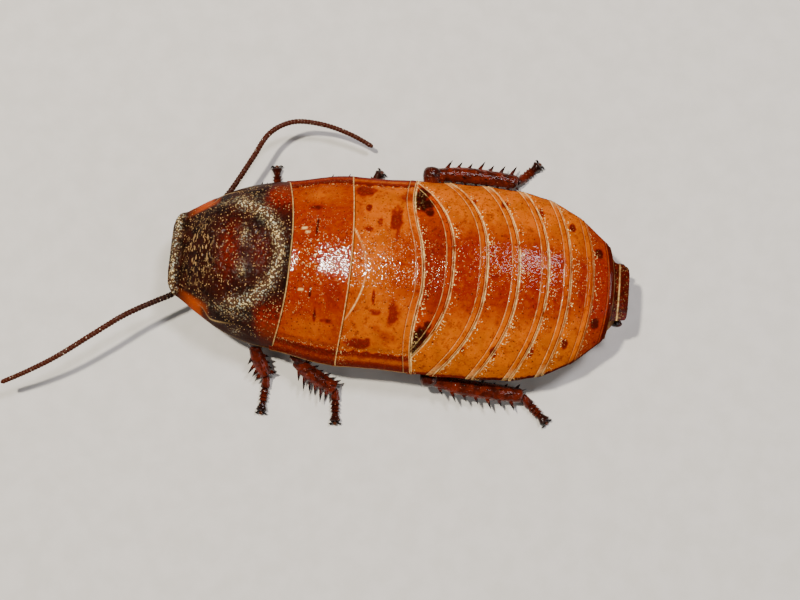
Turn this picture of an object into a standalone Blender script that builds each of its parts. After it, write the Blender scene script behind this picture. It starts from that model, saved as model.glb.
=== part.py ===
"""Madagascar hissing cockroach, an adult female, life size, standing.

Metres, +X toward the head, +Y toward the animal's left, +Z up, floor at z = 0.
Sizes below are in millimetres. A place along the body is its station, the distance
behind the front edge of the pronotum. A place across the body is a fraction of the
half width there, from -1 at the right margin to 1 at the left margin.
"""

import math

import bmesh
import bpy
from mathutils import Vector

MM = 0.001

# Body, in millimetres
ORIGIN_STATION = 20.5
GAP = 0.3
EDGE_THICKNESS = 0.7
FLANGE_RISE = 0.6
STERNUM_WIDTH = 0.86
STEP_DOWN = 0.45
RIM_RISE = 0.12
RIM_SHARE = 0.2
FRONT_NOTCH = 0.025
# The arch of the back: how square its shoulders are and how round its crest is
ARCH_SHOULDER = 2.3
ARCH_CREST = 0.7
HOOD_WALL = 0.55
# The horseshoe ridge of the shield: centre, half length, half width, height
HORSESHOE = (9.5, 6.2, 7.0, 0.4)
SHIELD_RIM = (0.9, 0.25)
SHIELD_KNOB = (5.4, 2.6, 0.3)

# Station and half width of the dorsal plates
HALF_WIDTH = (
    (0.2, 5.15),
    (2.0, 6.1),
    (4.4, 7.75),
    (8.0, 9.85),
    (12.0, 11.2),
    (16.0, 11.8),
    (21.0, 12.9),
    (26.0, 13.05),
    (34.0, 13.2),
    (42.0, 13.25),
    (47.0, 12.95),
    (50.0, 12.4),
    (52.4, 11.5),
    (54.7, 10.3),
    (56.9, 8.65),
    (58.8, 6.95),
    (60.4, 5.1),
)
# Station and height of the side margins, of the crest and of the belly
MARGIN = (
    (0.2, 6.6),
    (4.0, 5.7),
    (8.0, 5.2),
    (14.0, 4.95),
    (22.0, 5.1),
    (30.0, 5.3),
    (44.0, 5.4),
    (54.0, 5.5),
    (60.4, 5.9),
)
CREST = (
    (0.2, 7.7),
    (1.0, 8.3),
    (2.2, 8.6),
    (5.0, 10.9),
    (9.0, 12.7),
    (13.0, 13.1),
    (17.0, 12.9),
    (21.0, 13.6),
    (28.0, 14.0),
    (36.0, 14.1),
    (42.0, 13.8),
    (48.0, 13.0),
    (53.0, 11.8),
    (57.0, 10.3),
    (60.4, 8.8),
)
BELLY = (
    (6.5, 4.0),
    (34.5, 4.0),
    (37.5, 3.9),
    (40.5, 2.9),
    (44.0, 2.4),
    (50.0, 2.5),
    (54.0, 3.0),
    (57.0, 3.8),
    (60.4, 4.8),
)

# Joints between dorsal plates: station on the midline, how far it runs forward at the
# margin, and how sharply it bends
PRONOTUM_JOINT = (17.05, 1.9, 2.5)
MESONOTUM_JOINT = (25.1, 1.3, 2.0)
TERGITE_JOINTS = (
    (38.2, 6.5, 2.6),
    (42.6, 5.6, 2.6),
    (46.85, 4.6, 2.4),
    (50.75, 3.6, 2.4),
    (53.8, 2.3, 2.4),
    (57.0, 1.3, 2.2),
    (60.1, 0.6, 2.0),
)
# Rear edge of the thorax across the back, further forward on the right side
THORAX_REAR = (
    (-1.0, 32.55),
    (-0.8, 32.35),
    (-0.66, 32.4),
    (-0.45, 33.0),
    (-0.2, 33.95),
    (0.05, 34.4),
    (0.25, 34.4),
    (0.42, 34.0),
    (0.65, 33.6),
    (0.85, 33.5),
    (1.0, 33.85),
)
# How far the crescent of the first ring reaches toward the right and left margins
CRESCENT_REACH = (0.92, 0.84)
# Stations that part the ventral plates on the midline
STERNUM_STATIONS = (6.9, 16.8, 25.0, 34.4, 39.2, 43.4, 47.4, 51.0, 54.4, 60.0)
STERNUM_BOW = 1.2

# Tail
EPIPROCT = {
    "front": 60.25,
    "rear": 62.3,
    "half_width": 4.05,
    "narrowing": 0.1,
    "rounding": 0.22,
    "arch": 0.75,
    "top": (8.6, 7.5),
    "bottom": (7.0, 6.8),
}
CERCUS = (
    (60.3, 3.5, 5.45, 0.6),
    (60.9, 3.7, 5.5, 0.72),
    (61.4, 3.9, 5.5, 0.6),
    (61.85, 4.05, 5.55, 0.3),
)

# Head
HEAD_CENTRE = (3.6, 4.55)
HEAD_LENGTH = 2.8
HEAD_DEPTH = 1.9
HEAD_HALF_WIDTH = 3.35
HEAD_LEAN = math.radians(25.0)
CHEEK_FLAT = 2.95
OCCIPUT_FLAT = 5.2
EYE_RADII = (0.62, 0.95, 1.45)
EYE_SHIFT = (0.1, 0.95)
NECK_RADIUS = 1.5
# How far forward, and the half width and half depth at the top and at the bottom
JAWS = (-0.35, (1.35, 0.7), (0.95, 0.45))
LABRUM = (0.85, (1.15, 0.27), (0.8, 0.25))
PALP = (
    (5.1, 1.75, 1.65, 0.27),
    (4.5, 2.7, 1.45, 0.27),
    (3.3, 3.15, 1.25, 0.28),
    (2.2, 2.7, 1.05, 0.36),
    (1.7, 2.3, 0.95, 0.26),
)

# Antennae: station, distance from the midline and height along each
LEFT_ANTENNA = (
    (1.75, 2.55, 4.95),
    (1.15, 3.7, 5.3),
    (0.9, 5.2, 5.45),
    (-1.1, 6.45, 5.75),
    (-3.5, 7.85, 6.1),
    (-5.8, 9.35, 6.3),
    (-9.3, 12.05, 6.3),
    (-13.7, 15.3, 5.8),
    (-17.6, 17.6, 5.1),
    (-21.25, 19.4, 4.2),
)
RIGHT_ANTENNA = (
    (1.75, -2.55, 4.95),
    (1.9, -3.9, 4.75),
    (3.2, -5.6, 4.5),
    (4.8, -7.4, 4.35),
    (6.4, -9.3, 4.3),
    (7.9, -11.9, 4.5),
    (9.5, -15.0, 4.7),
    (11.4, -18.6, 4.7),
    (14.5, -20.72, 4.2),
    (18.6, -20.95, 3.4),
    (22.6, -20.0, 2.6),
    (25.8, -18.7, 1.9),
)
ANTENNA_RADII = (0.42, 0.32)
SCAPE_RADIUS = 0.55
ANTENNA_SPACING = 0.8

# Legs: how thick each part is, and on each leg where the parts begin and end. The
# points are station, distance from the midline and height.
LEG_SIZES = {
    "front": {
        "coxa": 1.6,
        "femur": 1.15,
        "tibia": 0.95,
        "tarsus": 0.6,
        "spine": 1.5,
        "spine_rows": 3,
        "spine_start": 0.38,
    },
    "middle": {
        "coxa": 2.0,
        "femur": 1.25,
        "tibia": 1.05,
        "tarsus": 0.62,
        "spine": 2.0,
        "spine_rows": 4,
        "spine_start": 0.3,
    },
    "hind": {
        "coxa": 2.25,
        "femur": 1.3,
        "tibia": 1.15,
        "tarsus": 0.66,
        "spine": 1.7,
        "spine_rows": 6,
        "spine_start": 0.16,
    },
}
LEGS = {
    ("front", "left"): {
        "coxa": ((8.6, 5.2, 2.7), (12.3, 2.8, 2.5)),
        "trochanter": (13.9, 3.6, 2.35),
        "knee": (12.3, 11.2, 3.2),
        "ankle": (14.2, 14.9, 1.3),
        "toe": (13.9, 19.8),
    },
    ("front", "right"): {
        "coxa": ((8.6, -5.2, 2.7), (12.3, -2.6, 2.5)),
        "trochanter": (14.2, -4.1, 2.35),
        "knee": (9.8, -9.4, 3.0),
        "ankle": (13.0, -10.5, 1.25),
        "toe": (12.4, -14.7),
    },
    ("middle", "left"): {
        "coxa": ((17.4, 7.0, 2.7), (22.9, 2.9, 2.5)),
        "trochanter": (25.3, 4.1, 2.35),
        "knee": (18.2, 12.6, 3.3),
        "ankle": (23.8, 15.9, 1.35),
        "toe": (24.2, 20.3),
    },
    ("middle", "right"): {
        "coxa": ((17.4, -7.0, 2.7), (22.9, -2.9, 2.5)),
        "trochanter": (25.3, -4.1, 2.35),
        "knee": (18.9, -11.2, 3.1),
        "ankle": (24.3, -11.9, 1.3),
        "toe": (27.2, -15.3),
    },
    ("hind", "left"): {
        "coxa": ((26.4, 7.6, 2.75), (32.1, 3.1, 2.5)),
        "trochanter": (34.2, 4.5, 2.3),
        "knee": (36.6, 13.4, 3.2),
        "ankle": (49.6, 14.5, 1.45),
        "toe": (53.1, 17.7),
    },
    ("hind", "right"): {
        "coxa": ((26.4, -7.6, 2.75), (32.1, -3.1, 2.5)),
        "trochanter": (34.2, -4.7, 2.3),
        "knee": (34.5, -15.0, 3.3),
        "ankle": (46.6, -15.5, 1.5),
        "toe": (49.5, -18.5),
    },
}
COXA_TOP = 3.7
SPINE_RADIUS = 0.3
SPINE_TIP = 0.07
SPINE_SIDES = 5
TARSOMERES = 5
CLAW_LENGTH = 1.35
CLAW_RADIUS = 0.26
CLAW_ASIDE = 0.31
SPINE_SUNK = 0.45
LOWEST_SPINE = 0.06
LAST_SPINE = 0.92
INNER_SPINE = 0.6
# Shares of a limb part's own thickness: where along the part, half width, half height
COXA_SHAPE = ((0.0, 0.8, 0.8), (0.25, 1.0, 1.05), (0.7, 0.85, 1.0), (1.0, 0.55, 0.75))
FEMUR_SHAPE = ((0.0, 0.7, 0.7), (0.22, 0.95, 0.9), (0.5, 1.02, 0.95), (0.8, 0.82, 0.8), (1.0, 0.66, 0.66))
TIBIA_SHAPE = ((0.0, 0.75, 0.75), (0.3, 0.98, 0.85), (0.6, 1.0, 0.82), (0.85, 0.95, 0.8), (1.0, 0.85, 0.75))
TIBIA_BOW = 0.35
TOE_HEIGHT = 0.4
CLAW_SPREAD = math.radians(32.0)

# Colour and roughness of each finish
FINISHES = {
    "amber_plate": ((0.55, 0.2, 0.02), 0.3),
    "dark_plate": ((0.05, 0.02, 0.015), 0.3),
    "red_plate": ((0.3, 0.06, 0.02), 0.3),
    "belly_plate": ((0.32, 0.12, 0.03), 0.35),
    "leg_shell": ((0.16, 0.04, 0.015), 0.3),
    "feeler_shell": ((0.14, 0.04, 0.02), 0.4),
    "eye_lens": ((0.01, 0.008, 0.008), 0.15),
    "neck_skin": ((0.5, 0.35, 0.2), 0.6),
}


def between(table, station):
    """The value at a station, on a smooth curve through the table's pairs."""
    if station <= table[0][0]:
        return table[0][1]
    for index in range(len(table) - 1):
        here, there = table[index], table[index + 1]
        if station <= there[0]:
            before = table[max(index - 1, 0)]
            after = table[min(index + 2, len(table) - 1)]
            span = there[0] - here[0]
            slope_here = (there[1] - before[1]) / (there[0] - before[0]) * span
            slope_there = (after[1] - here[1]) / (after[0] - here[0]) * span
            t = (station - here[0]) / span
            return (
                (2 * t**3 - 3 * t**2 + 1) * here[1]
                + (t**3 - 2 * t**2 + t) * slope_here
                + (3 * t**2 - 2 * t**3) * there[1]
                + (t**3 - t**2) * slope_there
            )
    return table[-1][1]


def point(station, across, height):
    """A place on the animal as a point in metres."""
    return Vector((ORIGIN_STATION - station, across, height)) * MM


def bell(value, centre, width):
    return math.exp(-(((value - centre) / width) ** 2))


def joint(shape, u):
    middle, forward, power = shape
    return middle - forward * abs(u) ** power


def thorax_rear(u):
    return between(THORAX_REAR, u)


def top_height(station, u):
    """Height of the back: a low arch from margin to margin."""
    edge = between(MARGIN, station) + EDGE_THICKNESS
    crest = between(CREST, station)
    return edge + (crest - edge) * (1.0 - abs(u) ** ARCH_SHOULDER) ** ARCH_CREST


def seam_height(station, u):
    """Height of the level cut that parts back plates from belly plates."""
    return between(MARGIN, station) + FLANGE_RISE * (1.0 - abs(u) ** 8)


def hood_height(station, u):
    """Height of the underside of the pronotum, which is a hood over the head."""
    wall = EDGE_THICKNESS + HOOD_WALL * (1.0 - abs(u) ** 6)
    return top_height(station, u) - wall


def pronotum_relief(station, u):
    """The low horseshoe ridge and the raised front rim of the shield."""
    across = u * between(HALF_WIDTH, station)
    centre, half_length, half_width, height = HORSESHOE
    ring = math.hypot((station - centre) / half_length, across / half_width)
    ridge = height * bell(ring, 0.95, 0.16) if station > 8.0 else 0.0
    rim = SHIELD_RIM[1] * bell(station, SHIELD_RIM[0], 0.55)
    knob = SHIELD_KNOB[2] * bell(station, SHIELD_KNOB[0], 1.0) * bell(abs(across), SHIELD_KNOB[1], 1.1)
    return ridge + rim + knob


def even(count):
    """Places from -1 to 1 that lie closer toward both ends."""
    return [math.sin(math.pi / 2 * (2 * k / (count - 1) - 1)) for k in range(count)]


def block(rows, columns, place):
    """A cube cut into rows and columns, with every corner then put where place says."""
    bm = bmesh.new()
    bmesh.ops.create_cube(bm, size=1.0)
    for axis, stations in enumerate((rows, columns)):
        edges = [e for e in bm.edges if abs(e.verts[0].co[axis] - e.verts[1].co[axis]) > 0.5]
        bmesh.ops.subdivide_edges(bm, edges=edges, cuts=len(stations) - 2, use_grid_fill=True)
    for vertex in bm.verts:
        row = rows[round((vertex.co.x + 0.5) * (len(rows) - 1))]
        column = columns[round((vertex.co.y + 0.5) * (len(columns) - 1))]
        vertex.co = place(row, column, vertex.co.z > 0.0)
    return bm


def sweep(stations, sides, start_normal=None, end_normal=None, floor=None, ceiling=None):
    """A cylinder cut into rings, each set round its own point of a path.

    A station is a point in millimetres, a half width and a half height. The end faces
    turn to the normals that are given, so that two limbs meet face to face. A flat side
    lies downward.
    """
    bm = bmesh.new()
    bmesh.ops.create_cone(bm, cap_ends=True, segments=sides, radius1=1.0, radius2=1.0, depth=1.0)
    edges = [e for e in bm.edges if abs(e.verts[0].co.z - e.verts[1].co.z) > 0.5]
    last = len(stations) - 1
    if last > 1:
        bmesh.ops.subdivide_edges(bm, edges=edges, cuts=last - 1)
    centres = [Vector(station[:3]) for station in stations]
    for vertex in bm.verts:
        k = round((vertex.co.z + 0.5) * last)
        along = (centres[min(k + 1, last)] - centres[max(k - 1, 0)]).normalized()
        upright = Vector((0, 0, 1)) if abs(along.z) < 0.8 else Vector((1, 0, 0))
        side = upright.cross(along).normalized()
        lift = along.cross(side)
        angle = math.atan2(vertex.co.y, vertex.co.x) + math.pi / 2 - math.pi / sides
        offset = side * math.cos(angle) * stations[k][3] + lift * math.sin(angle) * stations[k][4]
        normal = start_normal if k == 0 else end_normal if k == last else None
        if normal is not None:
            offset -= along * (offset.dot(normal) / along.dot(normal))
        place = centres[k] + offset
        if floor is not None:
            place.z = max(place.z, floor)
        if ceiling is not None:
            place.z = min(place.z, ceiling)
        vertex.co = point(*place)
    return bm


def material(name, finish):
    colour, roughness = FINISHES[finish]
    made = bpy.data.materials.new(name)
    made.use_nodes = True
    shader = made.node_tree.nodes["Principled BSDF"]
    shader.inputs["Base Color"].default_value = (*colour, 1.0)
    shader.inputs["Roughness"].default_value = roughness
    shader.inputs["Metallic"].default_value = 0.0
    made.diffuse_color = (*colour, 1.0)
    return made


def add(collection, name, bm, finish):
    """A node from a mesh that is turned to face outward and shaded smooth."""
    bmesh.ops.recalc_face_normals(bm, faces=bm.faces)
    if bm.calc_volume(signed=True) < 0.0:
        bmesh.ops.reverse_faces(bm, faces=bm.faces)
    mesh = bpy.data.meshes.new(name)
    bm.to_mesh(mesh)
    bm.free()
    mesh.shade_smooth()
    mesh.set_sharp_from_angle(angle=math.radians(40.0))
    node = bpy.data.objects.new(name, mesh)
    collection.objects.link(node)
    if finish is not None:
        mesh.materials.append(material(name, finish))
    return node


def spine(root, direction, length, radius=SPINE_RADIUS):
    """A tapered spine whose root is sunk into what it grows from."""
    bm = bmesh.new()
    depth = length + SPINE_SUNK
    bmesh.ops.create_cone(
        bm, cap_ends=True, segments=SPINE_SIDES, radius1=radius, radius2=SPINE_TIP, depth=depth
    )
    turn = direction.to_track_quat("Z", "Y").to_matrix()
    for vertex in bm.verts:
        place = root + turn @ (vertex.co + Vector((0, 0, (length - SPINE_SUNK) / 2)))
        place.z = max(place.z, LOWEST_SPINE)
        vertex.co = point(*place)
    return bm


def fuse(node, pieces):
    """Joins the pieces to a node in one union, and keeps its largest closed surface."""
    helpers = bpy.data.collections.new(node.name + "_pieces")
    bpy.context.scene.collection.children.link(helpers)
    for index, bm in enumerate(pieces):
        add(helpers, f"{node.name}_piece_{index}", bm, None)
    union = node.modifiers.new("union", "BOOLEAN")
    union.operation = "UNION"
    union.operand_type = "COLLECTION"
    union.collection = helpers
    union.solver = "EXACT"
    seen = node.evaluated_get(bpy.context.evaluated_depsgraph_get())
    fused = bpy.data.meshes.new_from_object(seen)
    node.modifiers.remove(union)
    for helper in list(helpers.objects):
        bpy.data.objects.remove(helper)
    bpy.data.collections.remove(helpers)
    bm = bmesh.new()
    bm.from_mesh(fused)
    keep_largest(bm)
    bm.to_mesh(fused)
    bm.free()
    node.data = fused


def keep_largest(bm):
    """Removes every closed surface but the one that holds the most space."""
    left, shells = set(bm.faces), []
    while left:
        stack, shell = [left.pop()], []
        while stack:
            face = stack.pop()
            shell.append(face)
            for edge in face.edges:
                for other in edge.link_faces:
                    if other in left:
                        left.remove(other)
                        stack.append(other)
        shells.append(shell)

    def size(shell):
        low = Vector(min(f.calc_center_median()[axis] for f in shell) for axis in range(3))
        high = Vector(max(f.calc_center_median()[axis] for f in shell) for axis in range(3))
        return (high - low).length

    shells.sort(key=size)
    for shell in shells[:-1]:
        bmesh.ops.delete(bm, geom=shell, context="FACES")


def back_plate(collection, name, front, rear, finish, rows, columns, underside=seam_height, relief=None):
    """A dorsal plate between two joints: sunk at its front, with a raised rim behind."""

    def place(v, u, on_top):
        inward = u * (1.0 - FRONT_NOTCH * (1.0 - v) * u**4)
        start = front(inward) + GAP / 2
        end = rear(inward) - GAP / 2
        station = start + (end - start) * v
        across = between(HALF_WIDTH, station) * inward
        if not on_top:
            return point(station, across, underside(station, u))
        sunk = STEP_DOWN * (1.0 - v) * (1.0 - u**4)
        rim = RIM_RISE if v > 1.0 - RIM_SHARE else 0.0
        extra = relief(station, u) if relief else 0.0
        return point(station, across, top_height(station, u) - sunk + rim + extra)

    return add(collection, name, block(rows, columns, place), finish)


def belly_plate(collection, name, front, rear, finish, underside=seam_height, straight_front=False):
    """A ventral plate under the level cut, bowed forward at its sides."""

    def place(v, u, on_top):
        bow = STERNUM_BOW * u * u
        start, end = front + GAP / 2 - bow, rear - GAP / 2 - bow
        if straight_front:
            start = front + GAP / 2
        station = start + (end - start) * v
        across = between(HALF_WIDTH, station) * STERNUM_WIDTH * u
        top = underside(station, STERNUM_WIDTH * u) - GAP
        if on_top:
            return point(station, across, top)
        belly = between(BELLY, station)
        rise = max(0.0, top - 0.8 - belly) * abs(u) ** 3
        return point(station, across, belly + rise)

    return add(collection, name, block((0.0, 0.5, 1.0), even(9), place), finish)


def back(collection):
    """The shield, the two wingless thorax plates and seven abdominal plates."""
    rows = (0.0, 0.05, 0.1, 0.2, 0.3, 0.4, 0.5, 0.6, 0.7, 0.8, 0.9, 1.0)
    back_plate(
        collection,
        "pronotum",
        lambda u: 0.2 - GAP / 2,
        lambda u: joint(PRONOTUM_JOINT, u),
        "dark_plate",
        rows,
        even(21),
        hood_height,
        pronotum_relief,
    )
    rows = (0.0, 0.2, 0.4, 0.6, 0.8, 0.82, 1.0)
    back_plate(
        collection,
        "mesonotum",
        lambda u: joint(PRONOTUM_JOINT, u),
        lambda u: joint(MESONOTUM_JOINT, u),
        "red_plate",
        rows,
        even(17),
    )
    back_plate(
        collection,
        "metanotum",
        lambda u: joint(MESONOTUM_JOINT, u),
        thorax_rear,
        "amber_plate",
        rows,
        even(17),
    )
    rows = (0.0, 0.4, 0.8, 0.82, 1.0)
    back_plate(
        collection,
        "tergite_1",
        thorax_rear,
        lambda u: joint(TERGITE_JOINTS[0], u),
        "red_plate",
        rows,
        [CRESCENT_REACH[u > 0] * u for u in even(13)],
    )
    for number in range(2, 8):
        ahead, behind = TERGITE_JOINTS[number - 2], TERGITE_JOINTS[number - 1]

        def front(u, ahead=ahead, number=number):
            return max(joint(ahead, u), thorax_rear(u)) if number == 2 else joint(ahead, u)

        back_plate(
            collection,
            f"tergite_{number}",
            front,
            lambda u, behind=behind: joint(behind, u),
            "amber_plate",
            rows,
            even(17),
        )


def belly(collection):
    names = ["prosternum", "mesosternum", "metasternum"] + [f"sternite_{n}" for n in range(2, 8)]
    for name, front, rear in zip(names, STERNUM_STATIONS, STERNUM_STATIONS[1:]):
        first = name == "prosternum"
        underside = hood_height if first else seam_height
        belly_plate(collection, name, front, rear, "belly_plate", underside, first)


def tail(collection):
    """The supra-anal plate and the two short cerci under its corners."""

    def place(v, u, on_top):
        shape = EPIPROCT
        half = shape["half_width"] * (1.0 - shape["narrowing"] * v)
        length = (shape["rear"] - shape["front"]) * (1.0 - shape["rounding"] * u**6)
        heights = shape["top"] if on_top else shape["bottom"]
        height = heights[0] + (heights[1] - heights[0]) * v
        if on_top:
            height -= shape["arch"] * u * u * (1.0 - 0.4 * v)
        return point(shape["front"] + length * v, half * u, height)

    add(collection, "epiproct", block((0.0, 0.5, 1.0), even(7), place), "dark_plate")
    for side, sign in (("left", 1), ("right", -1)):
        stations = [(s, sign * y, z, r, 0.85 * r) for s, y, z, r in CERCUS]
        add(collection, f"cercus_{side}", sweep(stations, 8), "leg_shell")


def head(collection):
    """The head hangs under the shield with its face turned forward and down."""
    sine, cosine = math.sin(HEAD_LEAN), math.cos(HEAD_LEAN)

    def on_head(across, depth, length):
        """Across, toward the face and toward the crown, from the head's centre."""
        station = HEAD_CENTRE[0] - cosine * depth - sine * length
        height = HEAD_CENTRE[1] - sine * depth + cosine * length
        return station, across, height

    bm = bmesh.new()
    bmesh.ops.create_uvsphere(bm, u_segments=14, v_segments=10, radius=1.0)
    for vertex in bm.verts:
        across, depth, length = vertex.co
        taper = 0.84 + 0.24 * length - 0.12 * length * length
        side = max(-CHEEK_FLAT, min(CHEEK_FLAT, across * HEAD_HALF_WIDTH * taper * 1.08))
        station, side, height = on_head(side, depth * HEAD_DEPTH * (0.9 + 0.1 * length), length * HEAD_LENGTH)
        vertex.co = point(min(station, OCCIPUT_FLAT), side, height)
    bmesh.ops.remove_doubles(bm, verts=bm.verts, dist=1e-7)
    add(collection, "head", bm, "dark_plate")
    for side, sign in (("left", 1), ("right", -1)):
        bm = bmesh.new()
        bmesh.ops.create_uvsphere(bm, u_segments=12, v_segments=8, radius=1.0)
        everything = bm.verts[:] + bm.edges[:] + bm.faces[:]
        cut = bmesh.ops.bisect_plane(bm, geom=everything, plane_co=(0, 0, 0), plane_no=(-1, 0, 0), clear_outer=True)
        rim = [e for e in cut["geom_cut"] if isinstance(e, bmesh.types.BMEdge)]
        bmesh.ops.contextual_create(bm, geom=rim)
        for vertex in bm.verts:
            out, depth, length = (vertex.co[axis] * EYE_RADII[axis] for axis in range(3))
            across = sign * (CHEEK_FLAT + GAP + out)
            vertex.co = point(*on_head(across, depth + EYE_SHIFT[0], length + EYE_SHIFT[1]))
        add(collection, f"eye_{side}", bm, "eye_lens")
        stations = [(s, sign * y, z, r, r) for s, y, z, r in PALP]
        add(collection, f"palp_{side}", sweep(stations, 6), "feeler_shell")
    for name, depth, top, bottom in (("mouthparts", *JAWS), ("labrum", *LABRUM)):
        chin = on_head(0.0, depth, -HEAD_LENGTH - GAP)
        lip = on_head(0.0, depth - 0.1, -HEAD_LENGTH - 1.1)
        add(collection, name, sweep([(*chin, *top), (*lip, *bottom)], 8), "dark_plate")
    stations = [
        (OCCIPUT_FLAT + GAP, 0.0, 5.6, NECK_RADIUS, NECK_RADIUS * 0.8),
        (STERNUM_STATIONS[0] - GAP / 2, 0.0, 6.0, NECK_RADIUS * 1.2, NECK_RADIUS),
    ]
    start, end = Vector((1, 0, 0)), Vector((1, 0, 0))
    add(collection, "neck", sweep(stations, 10, start, end), "neck_skin")


def curve_through(points, spacing):
    """Points about a spacing apart on one smooth curve through the given points."""
    knots = [Vector(p) for p in points]
    made = []
    for index in range(len(knots) - 1):
        here, there = knots[index], knots[index + 1]
        before, after = knots[max(index - 1, 0)], knots[min(index + 2, len(knots) - 1)]
        steps = max(1, round((there - here).length / spacing))
        for step in range(steps):
            t = step / steps
            made.append(
                0.5
                * (
                    2 * here
                    + (there - before) * t
                    + (2 * before - 5 * here + 4 * there - after) * t * t
                    + (3 * here - before - 3 * there + after) * t**3
                )
            )
    made.append(knots[-1])
    return made


def antennae(collection):
    for side, points in (("left", LEFT_ANTENNA), ("right", RIGHT_ANTENNA)):
        path = curve_through(points, ANTENNA_SPACING)
        stations = []
        for index, place in enumerate(path):
            share = index / (len(path) - 1)
            radius = ANTENNA_RADII[0] + (ANTENNA_RADII[1] - ANTENNA_RADII[0]) * share
            if index < 2:
                radius = SCAPE_RADIUS
            stations.append((*place, radius, radius))
        tip = stations[-1]
        stations[-1] = (*tip[:3], tip[3] * 0.5, tip[4] * 0.5)
        add(collection, f"antenna_{side}", sweep(stations, 7), "feeler_shell")


def lerp(a, b, share):
    return tuple(x + (y - x) * share for x, y in zip(a, b))


def leg(collection, pair, side):
    """Coxa, trochanter with femur, tibia with its spines, and tarsus with its claws."""
    sizes, places = LEG_SIZES[pair], LEGS[pair, side]
    name = f"{pair}_{side}"
    base, hip = (Vector(p) for p in places["coxa"])
    bend, knee, ankle = (Vector(places[key]) for key in ("trochanter", "knee", "ankle"))
    half = sizes["coxa"]
    coxa = [(*lerp(base, hip, share), half * wide, high) for share, wide, high in COXA_SHAPE]
    add(collection, f"coxa_{name}", sweep(coxa, 10, ceiling=COXA_TOP), "leg_shell")

    outward = (hip - base).normalized()
    root = hip + outward * GAP
    half = sizes["femur"]
    knee_turn = ((knee - bend).normalized() + (ankle - knee).normalized()).normalized()
    thigh_end = knee - knee_turn * GAP / 2
    femur = [
        (*root, half * 0.5, half * 0.55),
        (*(root + outward * 0.5), half * 0.58, half * 0.6),
    ]
    femur += [(*lerp(bend, thigh_end, share), half * wide, half * high) for share, wide, high in FEMUR_SHAPE]
    add(
        collection,
        f"femur_{name}",
        sweep(femur, 10, start_normal=outward, end_normal=knee_turn, ceiling=COXA_TOP),
        "leg_shell",
    )

    shin_start = knee + knee_turn * GAP / 2
    toe = Vector((*places["toe"], TOE_HEIGHT))
    ankle_turn = ((ankle - knee).normalized() + (toe - ankle).normalized()).normalized()
    shin_end = ankle - ankle_turn * GAP / 2
    half = sizes["tibia"]
    bow = Vector((0, math.copysign(TIBIA_BOW, knee.y), 0))

    def shin_point(share):
        return Vector(lerp(shin_start, shin_end, share)) + bow * math.sin(math.pi * share)

    tibia = [(*shin_point(share), half * wide, half * high) for share, wide, high in TIBIA_SHAPE]
    shin = add(
        collection,
        f"tibia_{name}",
        sweep(tibia, 8, start_normal=knee_turn, end_normal=ankle_turn, floor=0.12),
        "leg_shell",
    )
    along = (shin_end - shin_start).normalized()
    sideways = Vector((0, 0, 1)).cross(along).normalized()
    spines = []
    for row in range(sizes["spine_rows"]):
        share = sizes["spine_start"] + (LAST_SPINE - sizes["spine_start"]) * row / (sizes["spine_rows"] - 1)
        for hand in (-1, 1):
            aside = sideways * hand
            root = shin_point(share + 0.03 * hand) + aside * half * 0.7
            lean = (aside + along * 0.6 + Vector((0, 0, 0.12))).normalized()
            length = sizes["spine"] * (0.85 + 0.15 * math.sin(2.3 * row + hand))
            if aside.y * knee.y - 0.3 * aside.x * abs(knee.y) < 0.0:
                length *= INNER_SPINE
            spines.append(spine(root, lean, length))
    fuse(shin, spines)

    heel = ankle + ankle_turn * GAP / 2
    half = sizes["tarsus"]
    tarsus = [(*heel, half * 0.8, half * 0.75)]
    for segment in range(TARSOMERES):
        for share, swell in ((0.1 if segment else 0.55, 0.87), (0.85, 1.0)):
            place = Vector(lerp(heel, toe, (segment + share) / TARSOMERES))
            place.z = max(half * 0.72, heel.z + (half * 0.72 - heel.z) * (segment + share) * 0.75)
            tarsus.append((*place, half * swell, half * swell))
    foot = add(
        collection,
        f"tarsus_{name}",
        sweep(tarsus, 8, start_normal=ankle_turn, floor=0.0),
        "leg_shell",
    )
    forward = Vector((toe.x - heel.x, toe.y - heel.y, 0)).normalized()
    claws = []
    for hand in (-1, 1):
        aside = Vector((-forward.y, forward.x, 0)) * hand
        reach = forward * math.cos(CLAW_SPREAD) + aside * math.sin(CLAW_SPREAD)
        root = toe - forward * 0.1 + aside * CLAW_ASIDE
        claws.append(spine(root, (reach - Vector((0, 0, 0.1))).normalized(), CLAW_LENGTH, CLAW_RADIUS))
    fuse(foot, claws)


def main():
    for old in list(bpy.data.objects):
        bpy.data.objects.remove(old)
    collection = bpy.data.collections.new("madagascar_hissing_cockroach")
    bpy.context.scene.collection.children.link(collection)
    back(collection)
    belly(collection)
    tail(collection)
    head(collection)
    antennae(collection)
    for pair, side in LEGS:
        leg(collection, pair, side)
    triangles = 0
    for node in collection.objects:
        node.data.calc_loop_triangles()
        triangles += len(node.data.loop_triangles)
    print(len(collection.objects), "nodes,", triangles, "triangles")


main()
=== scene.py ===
# %% [markdown]
# # A madagascar hissing cockroach, life size
# The animal is a wingless insect in overlapping plates of glossy chitin. The packed
# model gives its size and place, so it is loaded first and never moved. Every piece
# made below is a finer shell over one part of that frame.

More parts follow.
